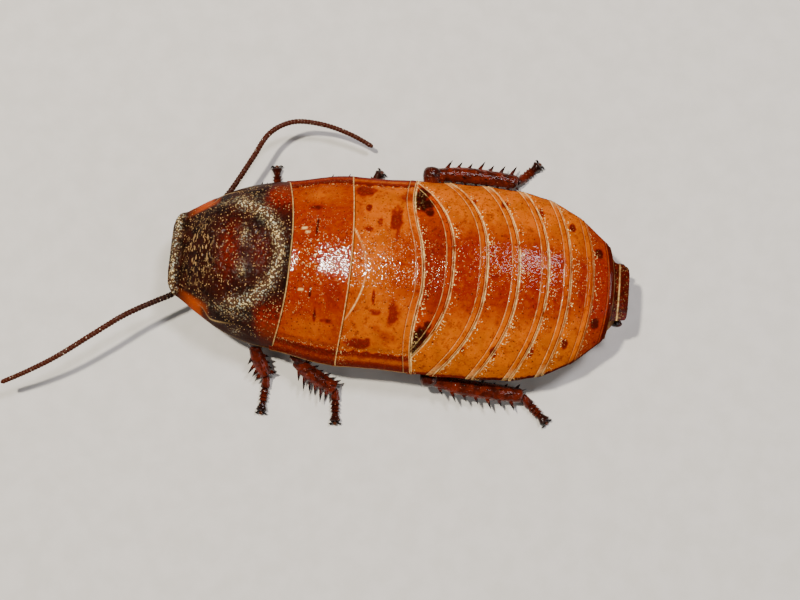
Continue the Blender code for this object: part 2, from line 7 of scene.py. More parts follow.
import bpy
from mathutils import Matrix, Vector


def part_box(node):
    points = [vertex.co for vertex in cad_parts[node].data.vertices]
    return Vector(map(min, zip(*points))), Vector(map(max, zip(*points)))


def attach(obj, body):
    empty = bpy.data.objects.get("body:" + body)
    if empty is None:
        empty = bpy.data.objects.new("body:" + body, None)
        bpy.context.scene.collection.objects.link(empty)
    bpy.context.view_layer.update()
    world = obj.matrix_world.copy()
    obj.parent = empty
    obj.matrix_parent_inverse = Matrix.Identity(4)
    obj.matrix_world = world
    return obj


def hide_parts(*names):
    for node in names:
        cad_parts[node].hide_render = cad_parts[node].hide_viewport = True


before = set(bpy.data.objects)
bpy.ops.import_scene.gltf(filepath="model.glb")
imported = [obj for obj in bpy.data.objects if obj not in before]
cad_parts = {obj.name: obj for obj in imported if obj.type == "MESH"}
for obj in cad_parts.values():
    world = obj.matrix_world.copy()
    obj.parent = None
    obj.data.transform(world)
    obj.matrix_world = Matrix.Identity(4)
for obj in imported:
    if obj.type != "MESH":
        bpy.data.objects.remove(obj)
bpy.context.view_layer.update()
print(len(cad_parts), "nodes in the frame")

# %% [markdown]
# ## Measures
# A place on the animal is easiest to say as a station, the distance behind the front
# edge of the head shield, with a distance from the midline and a height, all in
# millimetres. The pieces are modelled at that scale too, because Blender's operators
# judge such sizes better than thousandths of a metre, and they shrink to metres last.

# %% Places in millimetres
import math

import bmesh
import bpy
import numpy as np
from mathutils import Matrix, Vector, noise

MM = 0.001
# The station where the shield begins, and the x of the frame where stations begin
FRONT_EDGE = 0.2
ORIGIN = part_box("pronotum")[1][0] / MM + FRONT_EDGE


def spot(station, across, height):
    """A place on the animal, as a point of the frame in millimetres."""
    return Vector((ORIGIN - station, across, height))


def smooth(value):
    """Runs from 0 to 1 without a corner at either end."""
    value = min(max(value, 0.0), 1.0)
    return value * value * (3.0 - 2.0 * value)


def bell(value, centre, width):
    """Is 1 at the centre and fades evenly on both sides of it."""
    return math.exp(-(((value - centre) / width) ** 2))


print("front edge of the shield at x =", round(ORIGIN - FRONT_EDGE, 2), "mm")

# %% [markdown]
# ## The lines of the body
# The back is one low arch that every plate follows: how wide it is, how high its side
# margin and crest lie, and how high the belly hangs. A smooth curve through a few
# measured pairs gives each of them, which keeps the plates in line with one another.

# %% Curves along the body
CURVE_SAMPLES = 1500


def curve(pairs):
    """A smooth curve through pairs of station and value."""
    stations, values = np.array(pairs, float).T
    last = len(pairs) - 1
    slopes = []
    for k in range(last + 1):
        before, after = max(k - 1, 0), min(k + 1, last)
        slopes.append((values[after] - values[before]) / (stations[after] - stations[before]))
    samples = np.linspace(stations[0], stations[last], CURVE_SAMPLES)
    heights = []
    for station in samples:
        k = min(int(np.searchsorted(stations, station, side="right")) - 1, last - 1)
        span = stations[k + 1] - stations[k]
        t = (station - stations[k]) / span
        heights.append(
            (2 * t**3 - 3 * t**2 + 1) * values[k]
            + (t**3 - 2 * t**2 + t) * slopes[k] * span
            + (3 * t**2 - 2 * t**3) * values[k + 1]
            + (t**3 - t**2) * slopes[k + 1] * span
        )
    return lambda station: float(np.interp(station, samples, heights))


half_width = curve((
    (0.2, 5.15), (2.0, 6.1), (4.4, 7.75), (8.0, 9.85), (12.0, 11.2), (16.0, 11.8),
    (21.0, 12.9), (26.0, 13.05), (34.0, 13.2), (42.0, 13.25), (47.0, 12.95), (50.0, 12.4),
    (52.4, 11.5), (54.7, 10.3), (56.9, 8.65), (58.8, 6.95), (60.4, 5.1),
))
margin = curve((
    (0.2, 6.6), (4.0, 5.7), (8.0, 5.2), (14.0, 4.95), (22.0, 5.1), (30.0, 5.3),
    (44.0, 5.4), (54.0, 5.5), (60.4, 5.9),
))
crest = curve((
    (0.2, 7.7), (1.0, 8.3), (2.2, 8.6), (5.0, 10.9), (9.0, 12.7), (13.0, 13.1), (17.0, 12.9),
    (21.0, 13.6), (28.0, 14.0), (36.0, 14.1), (42.0, 13.8), (48.0, 13.0), (53.0, 11.8),
    (57.0, 10.3), (60.4, 8.8),
))
belly = curve((
    (6.5, 4.0), (34.5, 4.0), (37.5, 3.9), (40.5, 2.9), (44.0, 2.4), (50.0, 2.5),
    (54.0, 3.0), (57.0, 3.8), (60.4, 4.8),
))
EDGE_THICKNESS = 0.7
# The powers that make the arch broad along the midline and steep at the margins
ARCH_BREADTH = 2.3
ARCH_STEEPNESS = 0.7


def back_height(station, u):
    """Height of the back, where u runs from -1 at the right margin to 1 at the left."""
    edge = margin(station) + EDGE_THICKNESS
    return edge + (crest(station) - edge) * max(0.0, 1.0 - abs(u) ** ARCH_BREADTH) ** ARCH_STEEPNESS


print("back is", round(back_height(28.0, 0.0), 1), "mm high at station 28")

# %% [markdown]
# ## Finishes
# Chitin is a clear varnish over colour that lies deeper. A Principled shader with a coat
# does that, and small patterns on Object coordinates give the specks, pits and fine
# leathery grain. A short helper that wires such patterns keeps each finish readable.

# %% A helper for materials


class Finish:
    """A material whose Principled shader is fed by patterns on Object coordinates."""

    # A low index under the coat keeps a white haze off the colour
    UNDER_COAT = 1.05
    COAT = 1.38
    RAGGED_PER_MM = 3.5
    RAGGED_MM = 0.12
    SPECK_CORE = 0.45

    def __init__(self, name, coat, roughness=0.45, coat_roughness=0.08, specular=0.15):
        self.material = bpy.data.materials.new(name)
        self.material.use_nodes = True
        self.tree = self.material.node_tree
        self.shader = self.tree.nodes["Principled BSDF"]
        self.shader.inputs["Roughness"].default_value = roughness
        self.shader.inputs["Coat Weight"].default_value = coat
        self.shader.inputs["Coat Roughness"].default_value = coat_roughness
        self.shader.inputs["Specular IOR Level"].default_value = specular
        self.shader.inputs["IOR"].default_value = self.UNDER_COAT
        self.shader.inputs["Coat IOR"].default_value = self.COAT
        self.place = self.tree.nodes.new("ShaderNodeTexCoord").outputs["Object"]
        self.ragged = self.warp(self.RAGGED_MM)

    def warp(self, reach_mm):
        """The place pushed about a little, which makes round spots ragged."""
        cloud = self.tree.nodes.new("ShaderNodeTexNoise")
        cloud.inputs["Scale"].default_value = self.RAGGED_PER_MM / MM
        cloud.inputs["Detail"].default_value = 1.0
        self.feed(cloud.inputs["Vector"], self.place)
        push = self.tree.nodes.new("ShaderNodeVectorMath")
        push.operation = "MULTIPLY_ADD"
        self.feed(push.inputs[0], cloud.outputs["Color"])
        push.inputs[1].default_value = (2 * reach_mm * MM,) * 3
        self.feed(push.inputs[2], self.place)
        return push.outputs["Vector"]

    def feed(self, socket, value):
        if isinstance(value, bpy.types.NodeSocket):
            self.tree.links.new(value, socket)
        elif isinstance(value, tuple) and len(value) == 3 and socket.type == "RGBA":
            socket.default_value = (*value, 1.0)
        else:
            socket.default_value = value

    def attribute(self, name):
        made = self.tree.nodes.new("ShaderNodeAttribute")
        made.attribute_name = name
        return made.outputs["Fac"]

    def noise(self, per_mm, detail=2.0, rough=0.55, stretch=(1.0, 1.0, 1.0)):
        place = self.place
        if stretch != (1.0, 1.0, 1.0):
            mapping = self.tree.nodes.new("ShaderNodeMapping")
            mapping.inputs["Scale"].default_value = stretch
            self.feed(mapping.inputs["Vector"], place)
            place = mapping.outputs["Vector"]
        made = self.tree.nodes.new("ShaderNodeTexNoise")
        made.inputs["Scale"].default_value = per_mm / MM
        made.inputs["Detail"].default_value = detail
        made.inputs["Roughness"].default_value = rough
        self.feed(made.inputs["Vector"], place)
        return made.outputs["Fac"]

    def specks(self, per_mm, radius, share=1.0):
        """Round spots, one in each cell, of which only a share is kept."""
        made = self.tree.nodes.new("ShaderNodeTexVoronoi")
        made.inputs["Scale"].default_value = per_mm / MM
        self.feed(made.inputs["Vector"], self.ragged)
        spots = self.ramp(made.outputs["Distance"], radius, radius * self.SPECK_CORE)
        if share < 1.0:
            split = self.tree.nodes.new("ShaderNodeSeparateColor")
            self.feed(split.inputs["Color"], made.outputs["Color"])
            kept = self.math("LESS_THAN", split.outputs[0], share)
            spots = self.math("MULTIPLY", spots, kept)
        return spots

    def ramp(self, value, low, high, to_low=0.0, to_high=1.0):
        made = self.tree.nodes.new("ShaderNodeMapRange")
        made.interpolation_type = "SMOOTHSTEP"
        self.feed(made.inputs["Value"], value)
        made.inputs["From Min"].default_value = low
        made.inputs["From Max"].default_value = high
        made.inputs["To Min"].default_value = to_low
        made.inputs["To Max"].default_value = to_high
        return made.outputs["Result"]

    def math(self, operation, a, b=0.0):
        made = self.tree.nodes.new("ShaderNodeMath")
        made.operation = operation
        made.use_clamp = operation in ("ADD", "SUBTRACT", "MULTIPLY")
        self.feed(made.inputs[0], a)
        self.feed(made.inputs[1], b)
        return made.outputs[0]

    def mix(self, share, a, b):
        made = self.tree.nodes.new("ShaderNodeMix")
        made.data_type = "RGBA"
        self.feed(made.inputs["Factor"], share)
        self.feed(made.inputs["A"], a)
        self.feed(made.inputs["B"], b)
        return made.outputs["Result"]

    def bump(self, height, depth_mm, strength=1.0, under=None):
        made = self.tree.nodes.new("ShaderNodeBump")
        made.inputs["Strength"].default_value = strength
        made.inputs["Distance"].default_value = depth_mm * MM
        self.feed(made.inputs["Height"], height)
        if under is not None:
            self.feed(made.inputs["Normal"], under)
        return made.outputs["Normal"]

    def done(self, colour, roughness=None, normal=None):
        self.feed(self.shader.inputs["Base Color"], colour)
        if roughness is not None:
            self.feed(self.shader.inputs["Roughness"], roughness)
        if normal is not None:
            self.feed(self.shader.inputs["Normal"], normal)
            self.feed(self.shader.inputs["Coat Normal"], normal)
        return self.material


def linear(value):
    """A screen value from 0 to 255 as an amount of light, by the sRGB curve."""
    value /= 255
    return ((value + 0.055) / 1.055) ** 2.4 if value > 0.04045 else value / 12.92


def colour(red, green, blue):
    """A colour as it looks on a screen, as the shader's linear values."""
    return tuple(linear(value) for value in (red, green, blue))


AMBER = colour(193, 92, 0)
# The cream of the rim lines; on the abdomen these are partly painted highlight
CREAM = colour(255, 208, 130)
print("amber is", [round(value, 3) for value in AMBER])

# %% [markdown]
# ## Amber plates
# The abdomen is amber at the sides and red-brown along the middle, with dark dots,
# darker smudges where muscles are fixed inside, and pale cream lines on each rim that are
# partly painted highlight. Cream specks are painted glints and thin dark lines by each rim
# are painted shade. Where the marks lie depends on the plate, so each plate carries them as
# attributes on its points, and the shader only says what colour each one is.

# %% The plate finish
# The cream of the painted glints, specks that stand in for light sparkling on the varnish
PAINTED_GLINT = colour(255, 218, 138)
# How much darker than the amber its mottling is
MOTTLE_SHADE = 0.72
PIMPLE_HEIGHT = 0.06


def plate_finish(name, amber, red, dark, shine, grain_depth):
    made = Finish(name, coat=shine, specular=0.05)
    mottle = made.noise(0.35, 3.0)
    cloud = made.noise(1.3, 3.0, 0.65)
    grain = made.noise(2.6, 1.0)
    base = made.mix(made.ramp(mottle, 0.35, 0.7), amber, tuple(value * MOTTLE_SHADE for value in amber))
    base = made.mix(made.ramp(cloud, 0.47, 0.66, 0.0, 0.4), base, red)
    ruddy = made.math("MULTIPLY", made.attribute("red"), made.ramp(cloud, 0.15, 0.6, 0.65, 1.0))
    base = made.mix(ruddy, base, red)
    base = made.mix(made.ramp(cloud, 0.58, 0.72, 0.0, 0.4), base, dark)
    shade = made.math("MULTIPLY", made.attribute("dark"), made.ramp(grain, 0.25, 0.6, 0.75, 1.0))
    base = made.mix(made.ramp(shade, 0.0, 0.5), base, red)
    base = made.mix(made.ramp(shade, 0.2, 1.0), base, dark)
    dots = made.specks(1.6, 0.22, 0.8)
    fine = made.specks(2.7, 0.26, 0.7)
    base = made.mix(made.math("MULTIPLY", dots, 0.8), base, dark)
    base = made.mix(made.math("MULTIPLY", fine, 0.55), base, dark)
    # Cream rim lines, partly the rim's pale edge and partly painted highlight
    line = made.math("MULTIPLY", made.attribute("pale"), made.ramp(grain, 0.35, 0.55, 0.5, 1.0))
    base = made.mix(line, base, CREAM)
    # Painted glints: cream specks gathered where the glint mark is high, standing in for sparkle on the
    # varnish
    glint_specks = made.math("ADD", made.specks(2.3, 0.32, 0.7), made.specks(3.6, 0.38, 0.7))
    where = made.math("MULTIPLY", made.attribute("glint"), made.ramp(made.noise(0.9, 2.0), 0.38, 0.55))
    painted_glints = made.math("MULTIPLY", glint_specks, where)
    base = made.mix(painted_glints, base, PAINTED_GLINT)
    normal = made.bump(grain, grain_depth)
    pimples = made.math("SUBTRACT", made.math("ADD", painted_glints, 0.5), made.math("MULTIPLY", dots, 0.5))
    normal = made.bump(pimples, PIMPLE_HEIGHT, under=normal)
    made.feed(made.shader.inputs["Coat Weight"], made.math("MULTIPLY", made.attribute("gloss"), shine))
    return made.done(base, made.ramp(cloud, 0.3, 0.7, 0.35, 0.5), normal)


amber_chitin = plate_finish(
    "amber_chitin", AMBER, red=colour(126, 22, 1), dark=colour(60, 9, 2), shine=0.35, grain_depth=0.06
)
orange_chitin = plate_finish(
    "orange_chitin", AMBER, red=colour(130, 26, 1), dark=colour(60, 9, 3), shine=0.9, grain_depth=0.05
)
RUST = colour(176, 62, 0)
red_chitin = plate_finish(
    "red_chitin", RUST, red=colour(114, 20, 2), dark=colour(38, 9, 3), shine=0.35, grain_depth=0.06
)
print("three plate finishes made")

# %% [markdown]
# ## A piece from a bmesh
# Every piece ends the same way: it shrinks from millimetres to metres, gets its finish,
# rides on the frame's one body and takes the place of its part of the frame.

# %% Turn a bmesh into a piece
SHARP_EDGE = math.radians(50.0)


def piece(name, bm, finish, nodes, wall=0.0, closed=True):
    """The finished object; a wall in millimetres thickens an open sheet inward."""
    if closed:
        bmesh.ops.recalc_face_normals(bm, faces=bm.faces)
    bmesh.ops.scale(bm, vec=(MM, MM, MM), verts=bm.verts)
    mesh = bpy.data.meshes.new(name)
    bm.to_mesh(mesh)
    bm.free()
    mesh.materials.append(finish)
    mesh.shade_smooth()
    mesh.set_sharp_from_angle(angle=SHARP_EDGE)
    made = bpy.data.objects.new(name, mesh)
    bpy.context.scene.collection.objects.link(made)
    if wall:
        thicken = made.modifiers.new("wall", "SOLIDIFY")
        thicken.thickness = wall * MM
        thicken.offset = -1.0
    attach(made, "root")
    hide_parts(*nodes)
    print(name, len(mesh.polygons), "faces")


print("each piece rides on the root body")


# %% [markdown]
# ## Arched plates
# A back plate is a thin sheet bent over the body, with its side margins folded under and
# its front tucked beneath the plate before it, like a roof tile. A flat grid that is
# bent over the body's lines gives that, and the Solidify modifier gives the sheet its
# wall. The rows of the grid lie close together near the rear rim, where the detail is.

# %% A sheet over the back
PLATE_WALL = 0.2
# The strip ahead of the rear rim where the rows of the grid lie close together
RIM_ZONE = 1.2
# The folded margin: how far in and how far down each column lies from the edge
FOLD = ((0.0, 0.14), (0.05, 0.3), (0.22, 0.44), (0.7, 0.5), (1.7, 0.46))


def toward_margins(count, crowding):
    """Places from -1 to 1 that crowd together toward both ends."""
    return [math.sin(math.pi / 2 * crowding * (2 * k / (count - 1) - 1)) for k in range(count)]


def columns(count, crowding=0.96):
    """Places across a plate with the folded margin at either end of them."""
    places = toward_margins(count, crowding)
    places = [(value / places[-1], 0) for value in places]
    fold = [(1.0, index + 1) for index in range(len(FOLD))]
    return [(-1.0, index) for _, index in reversed(fold)] + places + fold


def rows(close, far):
    """Distances ahead of the rear rim: a fixed part, and a share of what is left."""
    near = [(RIM_ZONE * k / close, 0.0) for k in range(close + 1)]
    return near + [(RIM_ZONE, (k + 1) / far) for k in range(far)]


def bent_sheet(row_list, column_list, put, layers):
    """A grid with each corner put in its place; put gives the point and its marks."""
    bm = bmesh.new()
    bmesh.ops.create_grid(bm, x_segments=len(row_list) - 1, y_segments=len(column_list) - 1, size=0.5)
    stores = [bm.verts.layers.float.new(layer) for layer in layers]
    for vertex in bm.verts:
        row = row_list[round((vertex.co.x + 0.5) * (len(row_list) - 1))]
        column = column_list[round((vertex.co.y + 0.5) * (len(column_list) - 1))]
        vertex.co, marks = put(row, column)
        for store, value in zip(stores, marks):
            vertex[store] = min(max(value, 0.0), 1.0)
    return bm


print(len(columns(101)), "columns across a plate")

# %% [markdown]
# ## Where the plates meet
# Each joint between two plates runs forward toward the margins. The first rings of the
# abdomen bend most, so that the first plate is a crescent that ends before the margin.
# With the joints given as short formulas, both plates at a joint can share it.

# %% Joints between the plates
# Each joint: its station on the midline, how far forward it runs, and its power
PRONOTUM_JOINT = (17.05, 1.9, 2.5)
MESONOTUM_JOINT = (25.1, 1.3, 2.0)
TERGITE_JOINTS = (
    (38.2, 6.5, 2.6), (42.6, 5.6, 2.6), (46.85, 4.6, 2.4), (50.75, 3.6, 2.4),
    (53.8, 2.3, 2.4), (57.0, 1.3, 2.2), (60.1, 0.6, 2.0),
)
# How far the crescent reaches toward the right and left margins
CRESCENT_REACH = (0.95, 0.86)


def joint(shape, u):
    """The station of a joint at a place u across the body."""
    middle, forward, power = shape
    return middle - forward * abs(u) ** power


# The rear edge of the thorax is drawn in on each side, so that the first ring shows
metanotum_rear = curve((
    (-1.0, 32.55), (-0.8, 32.35), (-0.66, 32.4), (-0.45, 33.0), (-0.2, 33.95), (0.05, 34.4),
    (0.25, 34.4), (0.42, 34.0), (0.65, 33.6), (0.82, 33.6), (1.0, 33.9),
))
print("the first ring shows for", round(joint(TERGITE_JOINTS[0], 0.0) - metanotum_rear(0.0), 1), "mm")

# %% [markdown]
# ## One back plate
# Nine plates of the back differ in their joints and their marks, and in little else. So one
# function bends them all: its front end lies deeper and is tucked away, its rear rim is
# raised and rounded, and its corners step out past those of the plate behind.

# %% A plate between two joints
# How far a plate reaches under the one before it, and how deep its front lies there
OVERLAP = 1.4
SUNK = 0.36
# The shares by which both grow less from the midline to the margin
OVERLAP_FADE = 0.65
SUNK_FADE = 0.45
# A plate shorter than this has its close rows squeezed together
SHORT_PLATE = 2.4
RIM_RISE = 0.12
WAVES = 0.05
# The corners of each plate step out behind and in before, and are rounded off
CORNER_STEP = 0.3
CORNER_IN = 0.17
CORNER_ROUND = 0.5
CLOSE_ROWS = 16
# What the plate finish reads from each point
PLATE_MARKS = ("red", "dark", "pale", "glint", "gloss")


def rounded_off(distance, reach):
    """Runs from 1 at an edge to 0 at a distance from it, as a rounded edge does."""
    return (1.0 - min(distance / reach, 1.0)) ** 2


def folded(across, height, side, fold):
    """Moves a point in and down, where it belongs to the folded margin."""
    if not fold:
        return across, height
    inward, down = FOLD[fold - 1]
    return across - math.copysign(inward, side), height - down


def back_plate(front, rear, paint, rim=0.8, reach=(1.0, 1.0), relief=None, count=111, far=56):
    """A plate between two joints, with a raised rim behind and its front tucked under."""

    def put(row, column):
        side, fold = column
        u = side * reach[side > 0]
        start, end = front(u), rear(u)
        length = end - start + OVERLAP * (1.0 - OVERLAP_FADE * u**4)
        squeeze = min(1.0, length / SHORT_PLATE)
        ahead = row[0] * squeeze + (length - RIM_ZONE * squeeze) * row[1]
        station = end - ahead
        share = (station - start) / max(end - start, 0.3)
        sunk = SUNK * (1.0 - max(share, 0.0)) * (1.0 - SUNK_FADE * u**4)
        raised = RIM_RISE * smooth((rim + 0.14 - ahead) / 0.22)
        rounded = -0.02 - 0.1 * rounded_off(ahead, 0.14)
        height = back_height(station, u) - sunk + raised + rounded
        height += WAVES * noise.noise(Vector((station, u * 13.0, 3.0)) * 0.6) * (1.0 - u**8)
        corner = CORNER_STEP * max(share, 0.0) - CORNER_IN - CORNER_STEP * rounded_off(ahead, CORNER_ROUND)
        across = half_width(station) * u
        across += math.copysign(corner, u) * abs(u) ** 12
        if relief:
            height += relief(abs(u))
        across, height = folded(across, height, side, fold)
        marks = paint(station, across, abs(u), ahead, station - start)
        gloss = 1.0 - 0.92 * smooth((abs(u) - 0.28) / 0.32)
        return spot(station, across, height), (*marks, gloss)

    return bent_sheet(rows(CLOSE_ROWS, far), columns(count), put, PLATE_MARKS)


print("a back plate has", CLOSE_ROWS + 1, "rows close to its rim")

# %% [markdown]
# ## The abdomen
# Seven plates show from above. Each has a raised rear rim with a cream line on its edge
# and another where the rim begins, both partly painted highlight, with thin painted shade
# lines beside them and a painted highlight along the plate's front, and a small dark spot
# toward each side. Painting the lines from the distance to the rim keeps them exactly along it.

# %% Marks of the abdomen
# Each mark: its station, its distance from the midline, its two half sizes, its strength
SIGILLA = (
    (40.5, 9.9, 0.4, 0.5, 0.5), (44.5, 9.9, 0.45, 0.6, 0.55), (49.4, 9.4, 0.5, 0.6, 0.55),
    (53.9, 7.8, 0.5, 0.6, 0.75), (57.7, 4.7, 0.45, 0.6, 0.85),
)
CRESCENT_ENDS = (
    (32.9, -9.9, 1.3, 1.4, 1.0), (33.7, -8.7, 1.2, 1.2, 1.0), (34.6, -7.6, 0.6, 0.6, 0.8),
    (33.9, 10.0, 1.3, 1.4, 1.0), (34.8, 8.7, 1.2, 1.1, 1.0), (35.5, 7.6, 0.6, 0.6, 0.8),
)


# How red each plate is along its middle
MIDDLE_RED = (1.0, 1.0, 0.97, 0.95, 0.9, 0.8, 0.9)
LAST = len(MIDDLE_RED)


def blots(marks, station, across):
    """How strongly a place is marked by the nearest of some ragged oval marks."""
    strongest = 0.0
    for middle, aside, long, wide, strength in marks:
        fall = math.hypot((station - middle) / long, (across - aside) / wide)
        if fall < 2.0:
            ragged = 0.45 * noise.noise(Vector((station, across, 11.0)) * 1.5)
            strongest = max(strongest, strength * (1.0 - smooth((fall + ragged - 0.55) / 0.9)))
    return strongest


print(len(SIGILLA), "pairs of small spots,", len(CRESCENT_ENDS), "marks on the crescent")

# %% Paint the abdomen


def paint_tergite(number):
    """The painter of one plate: red, dark marks with painted shade lines, cream lines that are partly
    painted highlight, and painted glints at a place on it.
    """
    middle = MIDDLE_RED[number - 1]
    last = number == LAST

    def paint(station, across, u, ahead, behind):
        on_rim = smooth((0.8 - ahead) / 0.1)
        red = middle * (1.0 - smooth((u - 0.22) / 0.42)) * (1.0 - 0.45 * on_rim)
        red += 0.35 * bell(ahead, 1.4, 0.5) * (1.0 - u) + 0.2 * bell(u, 0.55, 0.15) * bell(behind, 0.8, 1.0)
        torn = 0.75 + 0.9 * noise.noise(Vector((station, across, 4.0)) * 1.6)
        # Cream lines at the rim's edge and where the rim begins, partly its pale edge and partly painted
        # highlight
        edge = 0.75 * torn * bell(ahead, 0.05, 0.065) + 0.6 * torn * bell(ahead, 0.88, 0.05)
        torn = 0.75 + 1.3 * noise.noise(Vector((station * 0.8, across * 0.8, 2.0)))
        # A painted highlight: a bright broken line along the front of the plate, where light catches the
        # step
        edge += 1.1 * torn * bell(behind, 0.16, 0.1)
        if number == LAST - 1:
            edge *= 0.45
        elif last:
            edge *= 0.2
        elif number > 1:
            edge += 0.3 * smooth((u - 0.88) / 0.08) * smooth((1.0 - ahead) / 0.15)
        # Painted glints, thickest just behind the front of the plate and along the middle
        glint = 1.1 * bell(behind, 0.5, 0.5) + 0.14 * bell(across, -1.0, 2.5) + 0.03
        glint *= (1.0 - 0.9 * on_rim) * (0.45 if last else 1.0)
        dark = blots(SIGILLA, station, abs(across))
        # Painted shade: thin dark lines in the steps beside the rim's cream lines
        dark += 0.7 * bell(ahead, 0.22, 0.06) + 0.6 * bell(ahead, 0.98, 0.06)
        if number == 1:
            ends = blots(CRESCENT_ENDS, station, across)
            dark += ends
            glint *= 1.0 - 0.5 * ends
        if last:
            dark += 0.8 * smooth((0.8 - ahead) / 0.2) + 0.32
            red += 0.5
        torn = 0.012 * noise.noise(Vector((station * 2.0, 0.0, 6.0)))
        dark += (0.9 if number > 3 else 0.5) * smooth((u - 0.976 + torn) / 0.01)
        return red, dark, edge, glint

    return paint


print("painters are ready for plates 1 to", LAST)

# %% Plates of the abdomen


def tergite_front(number):
    """Where a plate begins; the second one starts behind the crescent or the thorax."""
    if number == 1:
        return metanotum_rear
    ahead = TERGITE_JOINTS[number - 2]
    if number == 2:
        return lambda u: max(joint(ahead, u), metanotum_rear(u))
    return lambda u: joint(ahead, u)


# The last two plates are short, and their raised rims are narrower
NARROW_RIM = 0.55
WIDE_RIM = 0.8
for number in range(1, LAST + 1):
    shape = TERGITE_JOINTS[number - 1]
    crescent = number == 1
    bm = back_plate(
        tergite_front(number),
        lambda u: joint(shape, u),
        paint_tergite(number),
        rim=NARROW_RIM if number >= LAST - 1 else WIDE_RIM,
        reach=CRESCENT_REACH if crescent else (1.0, 1.0),
    )
    piece(
        f"abdomen_plate_{number}",
        bm,
        red_chitin if crescent else amber_chitin,
        (f"tergite_{number}",),
        wall=PLATE_WALL,
        closed=False,
    )

# %% [markdown]
# ## The thorax
# Behind the shield lie two broad plates without wings. Their middle is orange and red,
# and a fold along each side bends a darker band down. The marks are ragged ovals, each
# given by its place and size, so that they are easy to move.

# %% Marks of the thorax
# Dark marks of the middle plate; the thin ones near station 20 are painted shade in small dents
MIDDLE_DARK = (
    (20.1, -4.2, 0.2, 1.4, 0.9), (20.0, 4.6, 0.2, 0.8, 0.9), (21.6, 0.0, 2.0, 0.12, 0.6),
    (22.6, 8.0, 1.2, 0.16, 0.8), (19.6, -7.0, 0.9, 0.3, 0.5), (23.0, 4.6, 1.2, 1.8, 0.45),
    (20.8, 7.4, 0.2, 0.9, 0.6),
)
# Small pale marks on the edges of those dents, painted highlight
MIDDLE_DENT_HIGHLIGHTS = (
    (18.4, -4.0, 0.4, 0.14, 0.9), (18.9, -3.5, 0.35, 0.12, 0.7), (18.8, 4.2, 0.35, 0.12, 0.7),
)
REAR_DARK = (
    (30.3, -6.2, 0.8, 1.7, 0.85), (31.0, 6.3, 0.9, 1.9, 0.75), (30.7, -4.4, 0.3, 1.5, 0.6),
    (26.6, -7.6, 0.4, 0.5, 0.9), (26.8, -4.4, 0.6, 0.35, 0.8), (28.3, -5.5, 0.3, 0.6, 0.7),
    (28.3, 4.6, 0.2, 0.9, 0.9), (28.6, 6.4, 0.7, 0.4, 0.7), (25.8, -10.2, 1.3, 0.9, 0.9),
    (26.9, 10.3, 1.8, 0.6, 0.9), (30.5, 0.0, 1.8, 0.12, 0.6), (31.4, -9.6, 1.2, 0.7, 0.55),
    (30.4, 9.3, 1.3, 0.8, 0.4), (28.9, 8.4, 0.7, 0.5, 0.4),
)
# Where the side band folds down, as a share of the way to the margin
BAND_FOLD = 0.855
print(len(MIDDLE_DARK) + len(REAR_DARK), "dark marks on the thorax")

# %% Paint the thorax


def thorax_relief(u):
    """A gutter along the fold of each side band."""
    return -0.2 * bell(u, BAND_FOLD, 0.018) + 0.08 * bell(u, BAND_FOLD - 0.045, 0.02)


def band_fold(station, layer):
    """The fold of the side band, with a slight waver along it."""
    return BAND_FOLD + 0.02 * noise.noise(Vector((station * 1.2, 0.0, layer)))


def margin_line(u):
    return 0.6 * bell(u, 0.9985, 0.0012)


def paint_mesonotum(station, across, u, ahead, behind):
    patch = bell(u, 0.71, 0.13) * bell(behind, 4.0, 3.0)
    fold = band_fold(station, 7.0)
    band = smooth((u - fold) / 0.015)
    dark = (0.75 - 0.35 * bell(u, 0.94, 0.025)) * band + blots(MIDDLE_DARK, station, across)
    dark += 0.3 * bell(u, 0.55, 0.07) * bell(behind, 3.2, 2.4)
    # The cream rear line and margin line, with painted highlight on the dents
    pale = 0.85 * bell(ahead, 0.05, 0.08) + margin_line(u) + blots(MIDDLE_DENT_HIGHLIGHTS, station, across)
    # Painted glints, most of them in the middle where the key light's glare falls, and along the fold
    glint = 0.7 * bell(across, 0.0, 3.2) * bell(station, 20.5, 3.5)
    glint += 0.3 * bell(u, 0.5, 0.12) * bell(behind, 0.0, 3.0) + 0.06 + 0.4 * bell(u, fold, 0.02)
    return (0.95 - 0.6 * patch) * (1.0 - band), dark, pale, glint * (1.0 - 0.6 * patch)


def paint_metanotum(station, across, u, ahead, behind):
    fold = band_fold(station, 8.0)
    band = smooth((u - fold) / 0.015)
    ruddy = 0.15 + 0.65 * (1.0 - smooth((u - 0.1) / 0.3)) * smooth((behind - 3.0) / 3.6)
    ruddy += 0.35 * bell(behind, 0.6, 1.0) + 0.35 * bell(u, 0.3, 0.14) * smooth(behind / 8.0)
    dark = (0.7 - 0.5 * bell(u, 0.93, 0.03)) * band + 0.7 * blots(REAR_DARK, station, across)
    # Painted shade: a thin dark line in the step where the rear rim begins
    dark += 0.5 * bell(ahead, 0.98, 0.07)
    # A cream line bows forward across the plate
    bow = 27.0 - 0.06 * (across - 1.5) ** 2
    pale = 0.8 * bell(ahead, 0.05, 0.06) + 0.35 * bell(ahead, 0.9, 0.05) + margin_line(u)
    pale += max(bell(across, -4.6, 2.0), bell(across, 5.0, 2.4), 0.25) * bell(station, bow, 0.09)
    # Painted glints along the middle and just behind the front of the plate
    glint = 0.3 * bell(across, -0.3, 4.0) + 0.03 + 0.4 * bell(u, fold, 0.02)
    glint += 0.7 * bell(behind, 0.0, 1.2) * (bell(across, 0.0, 3.5) + bell(across, 11.0, 2.0))
    return ruddy * (1.0 - band), dark, pale, glint


print("both plates of the thorax have a painter")

# %% Plates of the thorax
THORAX_COLUMNS = 131


def pronotum_rear(u):
    return joint(PRONOTUM_JOINT, u)


def mesonotum_rear(u):
    return joint(MESONOTUM_JOINT, u)


